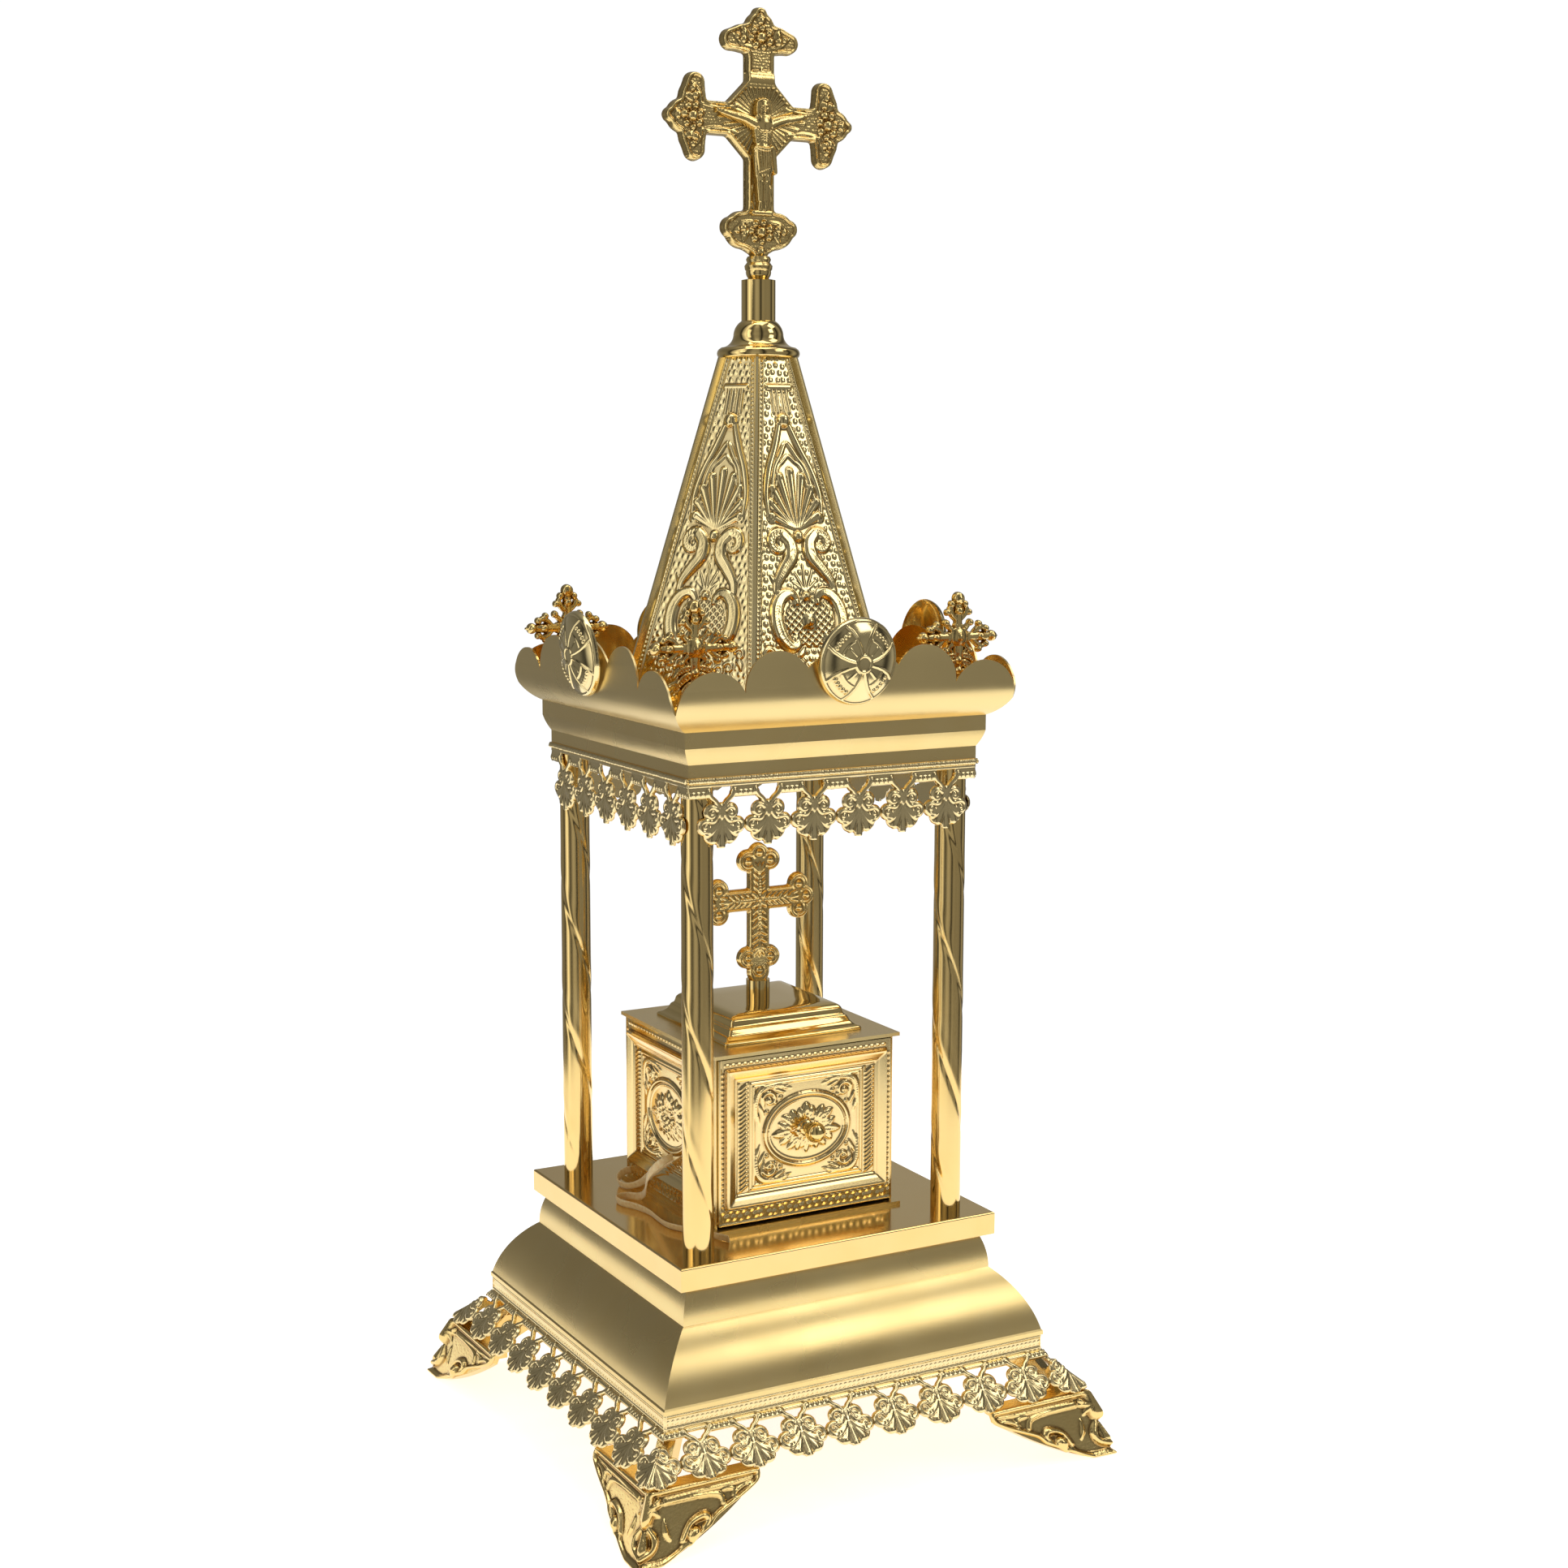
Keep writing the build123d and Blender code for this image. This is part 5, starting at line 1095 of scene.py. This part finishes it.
def make_finial():
    """The crucifix on the spire: clustered beads at its ends, rays, and the corpus."""
    low, high = box_mm("finial_cross")
    foot, cross_y, thick = FINIAL_FOOT, FINIAL_ARMS, 4.0
    tall, width = high[2] - foot, high[0] - low[0]
    c = Canvas.flat((-width / 2 - 0.6, -0.6), (width / 2 + 0.6, tall + 0.6), 0.26)
    ends = end_frames(width, tall, cross_y)
    middles = (12.0, 13.2, 12.0, 12.0)
    foot_lobe, lobe = [4.0, 7.2, 9.6, 7.2, 4.0], [4.1, 5.3, 7.2, 5.3, 4.1]
    c.stroke([(0, 13), (0, tall - 8)], 6.0, 0, solid=True)
    c.stroke([(-width / 2 + 8, cross_y), (width / 2 - 8, cross_y)], 6.4, 0, solid=True)
    for end, middle, widths in zip(ends, middles, (lobe, foot_lobe, lobe, lobe)):
        c.stroke([spot(end, 2.9, 0), spot(end, 9, 0)], [2.8, 5.5], 0, solid=True)
        c.stroke([spot(end, middle + bow, across) for across, bow in
                  ((-12.4, 1.0), (-7.5, 0.2), (0, 0), (7.5, 0.2), (12.4, 1.0))],
                 widths, 0, solid=True)
    diamond = 20.5
    c.body = np.maximum(c.body, (diamond - abs(c.x) - abs(c.y - cross_y)) * 0.707)
    c.blur_body(10)
    c.h = ridge(c.body - 0.9, 0.75, 0.8)
    for angle in range(0, 360, 9):
        a = radians(angle)
        reach = diamond / (abs(cos(a)) + abs(sin(a))) - 1.4
        c.stroke([polar(3, angle, 0, cross_y), polar(reach, angle, 0, cross_y)],
                 [0.3, 0.62], 0.7)
    rng = np.random.default_rng(12)
    for end, middle in zip(ends, middles):
        c.bead(*spot(end, middle - 0.4, 0), 2.1, 0.95)
        for k in range(7):
            a = 2 * pi * k / 7 + 0.3
            place = spot(end, middle - 0.4 + 3.5 * cos(a), 4.1 * sin(a))
            c.bead(*place, 1.35 + rng.uniform(-0.2, 0.2), 0.95)
        for way in (-1, 1):
            for across, inward, size in ((7.6, 0.8, 1.5), (7.4, -1.5, 1.2), (10.2, -0.2, 1.15)):
                c.bead(*spot(end, middle + inward, way * across), size, 0.9)
            c.leaf(spot(end, middle, way * 5.6), spot(end, middle - 4.6, way * 8.4), 1.1, 0.8)
            c.stroke(smooth([spot(end, middle + 3.4, way * 4), spot(end, middle + 2.6, way * 8.4),
                             spot(end, middle - 0.8, way * 12.2)], 5), [0.4, 0.65, 0.4], 0.8)
        c.bead(*spot(end, 5.4, 0), 1.5, 0.8)
        c.stroke([spot(end, 4.6, -1.6), spot(end, 3.4, 0), spot(end, 4.6, 1.6)], 0.5, 0.9)
    for x in (-9, 9):
        for way in (-1, 1):
            c.stroke(smooth([(x * 1.2, cross_y + way * 4.9), (x * 2.1, cross_y + way * 3.8),
                             (x * 2.9, cross_y + way * 5)], 4), 0.55, 0.9)
    c.stroke(smooth([(-3.6, 30), (-4.4, 25), (-3.4, 21.4)], 4), 0.5, 0.9, both=True)
    # small scroll above the head, folded at its ends
    c.stroke([(-5.6, cross_y + 15.4), (5.6, cross_y + 15.4)], 2.7, 0.5)
    c.stroke([(-5.9, cross_y + 17.4), (5.9, cross_y + 18.4)], 0.7, 0.9)
    c.stroke([(-5.9, cross_y + 12.6), (5.9, cross_y + 13.0)], 0.7, 0.9)
    c.pebbles(1.1, 0.12, c.free(2) & (c.body > 2.0), seed=7)
    c.soften(1)
    mesh = both_faces("finial_cross_plate", c, thick, thick / 2, foot)
    piece(mesh, CAST, replaces=["finial_cross"])

    f = Canvas.flat((-21.5, -37), (21.5, 9.5), 0.15)
    f.figure()
    figure = plate("corpus", f, upright(thick / 2 + 0.5, foot + cross_y), 0.5, 0.35, outline=True)
    piece(figure, CAST)
    collar = lathe("finial_collar", [(0.02, -2.2), (4.4, -2.2), (5.3, -1.2), (5.5, 0.2),
                                     (4.5, 1.5), (4.9, 2.6), (4.4, 3.7), (2.6, 4.3),
                                     (0.02, 4.3)], 48)
    piece(collar, CAST, at=(0, 0, foot - 0.2))


def make_chest_cross():
    """The cross on the chest's lid: three round lobes at each end, leaves along its arms."""
    low, high = box_mm("chest_cross")
    foot, cross_y = CHEST_CROSS_FOOT, CHEST_CROSS_ARMS
    tall, width = high[2] - foot, high[0] - low[0]
    c = Canvas.flat((-width / 2 - 0.6, -0.6), (width / 2 + 0.6, tall + 0.6), 0.2)
    ends = end_frames(width, tall, cross_y)
    middles = (7.2, 9.2, 7.2, 7.2)
    c.stroke([(0, 3), (0, tall - 5)], 4.8, 0, solid=True)
    c.stroke([(-width / 2 + 5, cross_y), (width / 2 - 5, cross_y)], 4.6, 0, solid=True)
    for end, middle in zip(ends, middles):
        c.bead(*spot(end, 4.3, 0), 4.3, 0, solid=True)
        for way in (-1, 1):
            c.bead(*spot(end, middle, way * 5.0), 4.6, 0, solid=True)
    c.blur_body(8)
    c.h = ridge(c.body - 0.65, 0.6, 0.62)
    for end, middle in zip(ends, middles):
        c.bead(*spot(end, 3.9, 0), 1.5, 0.8)
        c.stroke([spot(end, 4.3 + 2.6 * cos(a), 2.6 * sin(a))
                  for a in np.linspace(0.9, 2 * pi - 0.9, 16)], 0.42, 0.9)
        for way in (-1, 1):
            c.bead(*spot(end, middle, way * 5.0), 1.4, 0.8)
            c.stroke([spot(end, middle + 2.8 * sin(a), way * (5.0 + 2.8 * cos(a)))
                      for a in np.linspace(-2.2, 2.2, 16)], 0.42, 0.9)
            c.leaf(spot(end, middle + 4.6, way * 0.8), spot(end, middle + 0.4, way * 2.2), 0.8, 0.8)
        c.leaf(spot(end, middle + 6.2, 0), spot(end, middle + 0.2, 0), 1.1, 0.7)
    for angle in range(0, 360, 45):
        a = radians(angle)
        along = angle % 90 == 0
        c.leaf(polar(0.8, angle, 0, cross_y), polar(11.5 if along else 4.6, angle, 0, cross_y),
               1.2, 0.8)
        for way in (-1, 1) if along else ():
            for start in (3.0, 5.6, 8.2, 10.8):
                b = a + way * 0.75
                stalk = np.array(polar(start, angle, 0, cross_y))
                c.leaf(stalk, stalk + 4.0 * np.array((cos(b), sin(b))), 0.72, 0.9)
    c.bead(0, cross_y, 1.0, 0.9)
    for y in np.arange(12.0, 25.0, 3.1):
        c.leaf((0.5, y + 2.2), (3.3, y), 0.8, 0.9, both=True)
        c.bead(0, y + 1.2, 0.6)
    c.soften(1)
    mesh = both_faces("chest_cross_plate", c, 2.6, 1.3, foot)
    piece(mesh, CAST, replaces=["chest_cross"])


def make_corner_crosses():
    """Pierced crosses: lobes and beads round a boss, on a tapering fluted leg."""
    c = Canvas.flat((-18.6, -24.6), (18.6, 17.6), 0.17)
    c.bead(0, 0, 4.3, 0.5, solid=True)
    c.bead(0, 0, 1.8, 0.9, base=1.0)
    for angle in range(15, 375, 30):
        c.bead(*polar(4.6, angle), 1.1, 0.95, solid=True)
    for angle in (45, 135, 225, 315):
        c.stroke([polar(4.0, angle), polar(7.4, angle)], [1.3, 0.9], 0.8, solid=True)
        c.bead(*polar(7.8, angle), 1.5, 0.95, solid=True)
    for turn, long, knob in ((0, 15.6, 2.2), (90, 14.9, 2.6), (180, 15.6, 2.2)):
        out, side = np.array(polar(1, turn)), np.array(polar(1, turn + 90))

        def on_arm(r, s):
            return out * r + side * s

        c.stroke([on_arm(3, 0), on_arm(10, 0), on_arm(long, 0)], [1.7, 2.0, 1.3], 0.6, solid=True)
        for way in (-1, 1):
            curl = [on_arm(6.4, way * 0.6), on_arm(8.4, way * 2.6), on_arm(10.8, way * 3.8),
                    on_arm(12.2, way * 2.6)]
            c.stroke(smooth(curl, 6), [0.9, 1.25, 0.9], 0.85, solid=True)
            c.bead(*on_arm(9.6, way * 4.9), 1.4, 0.95, solid=True)
            c.bead(*on_arm(12.8, way * 3.0), 1.45, 0.95, solid=True)
        c.bead(*on_arm(10.2, 0), 1.5, 0.95, base=0.8, solid=True)
        c.bead(*on_arm(long, 0), knob, 0.8, solid=True)
        c.bead(*on_arm(long, 0), 1.2, 0.9, base=1.2, solid=True)
        if turn != 90:
            c.stroke([on_arm(long, 0), on_arm(18.0, 0)], [1.3, 0.5], 0.9, solid=True)
    c.stroke([(0, -4), (0, -23.6)], [2.4, 1.9, 1.6], 0.6, solid=True)
    for side in (-1, 1):
        for start, (x, y), wide in ((-7.0, (8.4, -10.6), 1.5), (-9.0, (8.0, -15.4), 1.9),
                                    (-12.0, (6.2, -20.0), 1.9), (-15.0, (3.6, -23.6), 1.6)):
            c.leaf((0, start), (side * x, y), wide, 0.75, bend=side * 0.12, solid=True)
        c.stroke(volute(side * 4.4, -6.4, 1.9, 90, 1.2, side), [0.8, 0.6], 0.9, solid=True)
    for y in (-9.0, -13.0, -17.0):
        c.bead(0, y, 1.5, 0.9, base=0.8, solid=True)
    c.soften(1)
    back = -1.0 - np.where(c.body > 0, np.clip(c.body, 0, 1.2), 0) * 0.6
    mesh = plate("corner_cross", c, upright(0, 0), 1.0, 0.5, outline=True, back=back)
    for corner, (x, y) in {"front_left": (-1, -1), "front_right": (1, -1),
                           "back_right": (1, 1), "back_left": (-1, 1)}.items():
        piece(mesh, CAST, replaces=["corner_crosses"], name=f"corner_cross_{corner}",
              at=(x * CORNER_CROSS_AT, y * CORNER_CROSS_AT, CORNER_CROSS_HEIGHT))


# --------------------------------------------------------------------------------- chest
def acanthus(c, x, y, across, up):
    """A corner scroll of leaves, at x, y; across and up are signs that point to the middle."""
    def at(a, b):
        return x + across * a * 1.2, y + up * b * 1.16

    c.stroke(smooth([at(0.4, 11.5), at(0.2, 5.4), at(1.8, 1.4), at(5.6, 0.3), at(11.8, 0.6)], 6),
             [0.4, 1.1, 1.4, 1.1, 0.4], 0.75, groove=0.4)
    c.stroke([at(a, b) for a, b in volute(5.2, 4.8, 2.8, 200, 1.1)], [0.95, 0.55], 0.9)
    c.bead(*at(5.3, 4.9), 1.0, 0.95)
    for start, tip, wide in (((2.2, 2.0), (3.2, 7.8), 0.95), ((2.6, 1.6), (8.6, 3.6), 0.95),
                             ((1.2, 6.0), (3.4, 10.6), 0.8), ((6.4, 1.0), (11.2, 3.2), 0.8),
                             ((7.6, 0.6), (13.6, 1.8), 0.6), ((0.5, 8.4), (1.6, 13.4), 0.6)):
        c.leaf(at(*start), at(*tip), wide, 0.8)
    for a, b in ((4.2, 9.0), (9.4, 4.6), (7.4, 6.2)):
        c.bead(*at(a, b), 0.75, 0.9)


def vine_leaf(c, centre, angle, reach, wide):
    """A broad leaf of five lobes, each with its vein, pointing away from the oval's middle."""
    def away(x, y, turn, long):
        return x + long * cos(radians(turn)), y + long * 0.95 * sin(radians(turn))

    heart = away(0, centre, angle, 0.42 * reach)
    c.stroke([away(0, centre, angle, 2.5), heart], 0.6, 0.9)
    for turn, share, thick in ((-78, 0.34, 0.75), (78, 0.34, 0.75), (-38, 0.47, 0.95),
                               (38, 0.47, 0.95), (0, 0.58, 1.0)):
        c.leaf(heart, away(*heart, angle + turn, share * reach), 1.35 * wide * thick, 0.55)


def chest_ornament(c, centre, half_x, low_y, high_y, flowers):
    """A pressed panel: a bevelled frame, rope columns, an oval with a spray of vine leaves
    round flowers or a rosette, and scrolls in its corners."""
    x, y = c.x, c.y - centre
    # bevelled frame
    outside = np.maximum(abs(x) - 31.2, abs(y) - 22.8)
    bevel = np.interp(outside, (-0.2, 0.0, 0.9, 1.6, 4.0, 4.7, 5.0),
                      (0, 0.35, 0.5, 1.0, 2.1, 2.1, 0))
    c.h = np.where(outside > -0.2, bevel, 0)
    inner = np.maximum(abs(x) - 24.9, abs(y) - 21.0)
    for line in (0.0, 1.2):
        c.h = np.maximum(c.h, ridge(inner + line, 0.42, 0.42))
    # rope columns
    for side in (-1, 1):
        column = side * 28.3
        for b in np.arange(-20.2, 20.5, 1.75):
            c.stroke([(column - 1.3, centre + b - 0.85), (column + 1.3, centre + b + 0.85)],
                     0.66, 0.95)
        for off in (-2.1, 2.1):
            c.stroke([(column + off, centre - 21.8), (column + off, centre + 21.8)], 0.35, 0.9)
    # oval
    c.stroke(arc(0, centre, 18.7, 0, 360, 60, 14.2 / 18.7), 0.95, 0.95)
    c.stroke(arc(0, centre, 16.9, 0, 360, 60, 12.4 / 16.9), 0.35, 0.8)
    for across in (-1, 1):
        for up in (-1, 1):
            acanthus(c, across * -23.0, centre - up * 19.3, across, up)
    # spray
    if flowers:
        for fx, fy, size in ((-6.5, 2.5, 1.0), (5.5, 4.0, 0.9), (-1.0, -4.5, 0.95),
                             (7.6, -3.6, 0.7)):
            fy += centre
            c.bead(fx, fy, 1.5 * size, 0.95)
            for k in range(6):
                a = 2 * pi * k / 6 + 0.4
                c.bead(fx + 2.6 * size * cos(a), fy + 2.6 * size * sin(a), 1.3 * size, 0.8)
    else:
        for angle in range(0, 360, 24):
            c.leaf(polar(1.5, angle, 0, centre), polar(5.4, angle, 0, centre), 1.15, 0.9)
    for angle, reach, wide in ((92, 10.6, 1.7), (150, 12.6, 1.5), (184, 15.4, 1.6),
                               (222, 11.6, 1.3), (30, 13.2, 1.6), (-8, 15.2, 1.5),
                               (-44, 11.8, 1.3), (-92, 10.2, 1.1)):
        vine_leaf(c, centre, angle, reach, wide)
    for angle in range(20, 380, 45):
        c.bead(3.6 * cos(radians(angle)), centre + 3.3 * sin(radians(angle)), 1.15, 0.95)
    # margins
    for dash in np.arange(-half_x + 3.0, half_x - 3.0, 2.6):
        c.stroke([(dash, high_y - 2.1), (dash + 1.3, high_y - 2.1)], 0.4, 0.9)
    for b in np.arange(low_y + 6, high_y - 4, 2.1):
        c.bead(half_x - 1.7, b, 0.42, 0.9, both=True)
    c.stroke([(half_x - 0.7, low_y), (half_x - 0.7, high_y)], 0.35, 0.8, both=True)
    c.pebbles(3.1, 0.22, (c.y < centre - 28.4) & (c.y > low_y + 0.8), seed=9)
    c.stroke([(-half_x, low_y + 0.5), (half_x, low_y + 0.5)], 0.4, 0.8)


def chest_panel(half, bottom, top, centre, pitch, flowers):
    """A canvas with a pressed panel on it; centre is the height of the oval's middle."""
    c = Canvas.flat((-half, bottom), (half, top), pitch)
    chest_ornament(c, centre, half, bottom, top, flowers)
    c.soften(1)
    return c


def make_chest():
    """The drawer's front, and thin relief on the sides and the back of the case."""
    c = chest_panel(DRAWER_HALF, DRAWER_BOTTOM, DRAWER_TOP, DRAWER_OVAL, 0.24, False)
    mesh = plate("drawer_front_relief", c, upright(DRAWER_OUT, 0), 0.8)
    piece(mesh, CHEST_GOLD, "drawer", replaces=["drawer_front"])

    low, high = box_mm("chest_case")
    margin, proud, thin = 0.3, 0.02, 0.12
    bottom, top = low[2] + margin, high[2] - margin
    middle = (low[1] + high[1]) / 2
    c = chest_panel((high[1] - low[1]) / 2 - 0.2, bottom, top, CASE_OVAL, 0.27, True)
    for side, turn, shift in (("right", 90, middle), ("left", 270, -middle)):
        mesh = plate(f"chest_{side}_relief", c, upright(high[0] + proud, 0, 0, shift), thin)
        piece(mesh, CHEST_GOLD, turn=turn)
    c = chest_panel(high[0] - 0.2, bottom, top, CASE_OVAL, 0.27, True)
    mesh = plate("chest_back_relief", c, upright(high[1] + proud, 0), thin)
    piece(mesh, CHEST_GOLD, turn=180)


def make_knob():
    """The drawer's round knob on its turned collar."""
    low, high = box_mm("drawer_knob")
    ball = 4.1
    middle = high[1] - low[1] - ball
    outline = [(0.02, 0), (3.5, 0), (3.6, 0.4), (3.1, 1.0), (2.1, 1.3), (1.8, 1.9), (2.5, 2.4),
               (2.5, 2.8), *arc(0, middle, ball, -58, 89.7, 24)]
    mesh = lathe("drawer_knob_ball", outline, 64)
    mesh.transform(Quaternion((1, 0, 0), radians(90)).to_matrix().to_4x4())
    piece(mesh, MIRROR, "drawer", replaces=["drawer_knob"],
          at=(0, high[1], (low[2] + high[2]) / 2))


def make_cushion():
    """The lid's pressed cushion: a soft foot, a rounded band, a crowned top, eased corners."""
    low, high = box_mm("chest_cushion")
    half = (high[:2] - low[:2]) / 2
    middle = (high[:2] + low[:2]) / 2
    rise = high[2] - low[2]
    # how far in from the edge, and at what share of the height
    bends = smooth([(0.0, 0.02), (0.0, 0.07), (0.5, 0.13), (1.9, 0.19), (3.1, 0.29), (3.7, 0.40),
                    (4.3, 0.51), (5.1, 0.57), (5.5, 0.66), (5.9, 0.80), (7.0, 0.91), (8.8, 0.97),
                    (11.0, 0.995)], 4)
    nearly_middle = 30.98
    bends = [(nearly_middle, 0.0), (0.0, 0.0), *bends, (20.0, 1.0), (nearly_middle, 1.0)]
    quarter = np.radians(np.linspace(0, 90, 8))
    rings = []
    for inset, height in bends:
        size = half - inset
        ease = min(1.3, size.min() * 0.5)
        ring = []
        for k, sign in enumerate(((1, 1), (-1, 1), (-1, -1), (1, -1))):
            a = quarter + k * pi / 2
            bend = np.stack([np.cos(a), np.sin(a)], -1) * ease
            ring.append(bend + np.array(sign) * (size - ease) + middle)
        ring = np.vstack(ring)
        rings.append(np.column_stack([ring, np.full(len(ring), low[2] + height * rise)]))
    quads = ring_quads(len(rings), len(rings[0]))
    rings = np.array(rings)
    mesh = make_mesh("chest_cushion_pressed", rings.reshape(-1, 3), quads, sharp=60)
    piece(mesh, MIRROR, replaces=["chest_cushion"])


# -------------------------------------------------------------------------------- ribbon
def make_ribbon():
    """The key's flat ribbon, out of the chest's side, looped, and lying on the plate."""
    lies = RIBBON_LIES
    route = [(-40, 37, 100), (-44.6, 36.8, 99.8), (-48.8, 32.6, lies), (-47.8, 25.6, lies),
             (-44.8, 18.6, 99.6), (-43.4, 11.4, 105.4), (-43.2, 4, 110.4), (-43.2, -3.4, 114.8),
             (-43.6, -9.6, 118.6), (-46.6, -14.8, 120.6), (-52.2, -14.8, 118.4),
             (-54, -8.8, 112.8), (-51.8, -2, 106.6), (-49, 4.4, 100.4), (-48.8, 10.6, lies),
             (-52.4, 15.6, lies), (-58.2, 14, lies), (-58.6, 7.4, lies), (-54.8, 0.2, lies),
             (-53.2, -8.6, lies), (-54.2, -17.5, lies), (-54.4, -26.3, lies),
             (-50.8, -33.2, lies), (-46.2, -39, lies), (-43.4, -45.6, lies), (-40.6, -52, lies)]
    curve = bpy.data.curves.new("ribbon_line", "CURVE")
    curve.dimensions = "3D"
    line = curve.splines.new("NURBS")
    line.points.add(len(route) - 1)
    for point, (x, y, z) in zip(line.points, route):
        point.co = (x * MM, y * MM, z * MM, 1)
    line.order_u = 3
    line.use_endpoint_u = True
    line.resolution_u = 10
    guide = bpy.data.objects.new("ribbon_line", curve)
    bpy.context.scene.collection.objects.link(guide)
    sampled = bpy.data.meshes.new_from_object(guide)
    p = np.array([v.co for v in sampled.vertices], float) / MM
    p = p[np.r_[True, np.linalg.norm(np.diff(p, axis=0), axis=1) > 0.01]]     # no doubles
    bpy.data.objects.remove(guide)
    bpy.data.meshes.remove(sampled)

    ahead = np.gradient(p, axis=0)
    ahead /= np.linalg.norm(ahead, axis=1, keepdims=True)
    side = np.cross(ahead, (0, 0, 1.0))
    side /= np.linalg.norm(side, axis=1, keepdims=True)
    up = np.cross(side, ahead)
    # the band stands on edge and sways a little
    lean = np.radians(12 + 14 * np.sin(np.linspace(0, 9, len(p))))[:, None]
    up, side = up * np.cos(lean) + side * np.sin(lean), side * np.cos(lean) - up * np.sin(lean)
    section = np.array([(-1.5, 0.0), (-1.42, 0.2), (-0.6, 0.24), (0.6, 0.24), (1.42, 0.2),
                        (1.5, 0.0), (1.42, -0.2), (0.6, -0.24), (-0.6, -0.24), (-1.42, -0.2)])
    rings = p[:, None] + up[:, None] * section[:, 0, None] - side[:, None] * section[:, 1, None]
    count = len(section)
    ids = np.arange(len(p) * count).reshape(-1, count)
    after = np.roll(ids, -1, 1)
    quads = [np.stack([ids[:-1], ids[1:], after[1:], after[:-1]], -1).reshape(-1, 4)]
    for ring, turned in ((ids[0], 1), (ids[-1], -1)):
        ends = [ring[[i, i + 1, count - 2 - i, count - 1 - i]] for i in range(4)]
        quads.append(np.array(ends)[:, ::turned])
    mesh = make_mesh("key_ribbon_band", rings.reshape(-1, 3), np.vstack(quads))
    ribbon = piece(mesh, RIBBON, replaces=["key_ribbon"])


# ---------------------------------------------------------------------------- small trim
def make_trim():
    """A rope of solder and twisted wire along the foot of the cornice."""
    half = ROPE_HALF
    foot = box_mm("cornice_front")[0][2] + 1.0
    c = Canvas.flat((-half, foot - 1.0), (half, foot + 1.0), 0.22)
    rng = np.random.default_rng(5)
    for x in np.arange(-half + 0.6, half - 0.4, 1.15):
        c.stroke([(x - 0.3, foot - 0.4), (x + 0.3, foot + 0.4)],
                 0.6 + rng.uniform(-0.1, 0.1), 0.85)
    c.soften(1)
    rope = plate("cornice_rope", c, upright(ROPE_OUT, 0), 0.3)
    on_four_sides(rope, PIERCED, "cornice_rope_{}")


make_spire()
make_upper_borders()
make_lower_borders()
make_columns()
make_medallions()
make_feet()
make_finial()
make_chest_cross()
make_corner_crosses()
make_chest()
make_knob()
make_cushion()
make_ribbon()
make_trim()


# -------------------------------------------------------------------------------- finish
NODE_MATERIALS = (      # the first prefix that fits a node's name
    (STEEL, ("tie_rod", "finial_rod", "finial_nut", "foot_screws", "drawer_knob_screw")),
    (GALLERY, ("gallery",)),
    (TUBE_GOLD, ("column",)),
    (MIRROR, ("spire_cap", "finial_socket", "drawer_knob", "chest_cross_socket",
              "chest_cushion")),
    (CAST, ("foot", "finial_cross", "corner_cross", "chest_cross")),
    (PLATE_GOLD, ("base_top",)),
    (CHEST_GOLD, ("chest_case", "drawer_front")),
    (RIBBON, ("key_ribbon",)),
    (EMBOSSED, ("spire", "upper", "lower", "medallions")),
    (SATIN, ("",)),
)

for node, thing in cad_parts.items():
    finish = next(made for made, starts in NODE_MATERIALS if node.startswith(starts))
    thing.data.materials.clear()
    thing.data.materials.append(finish)
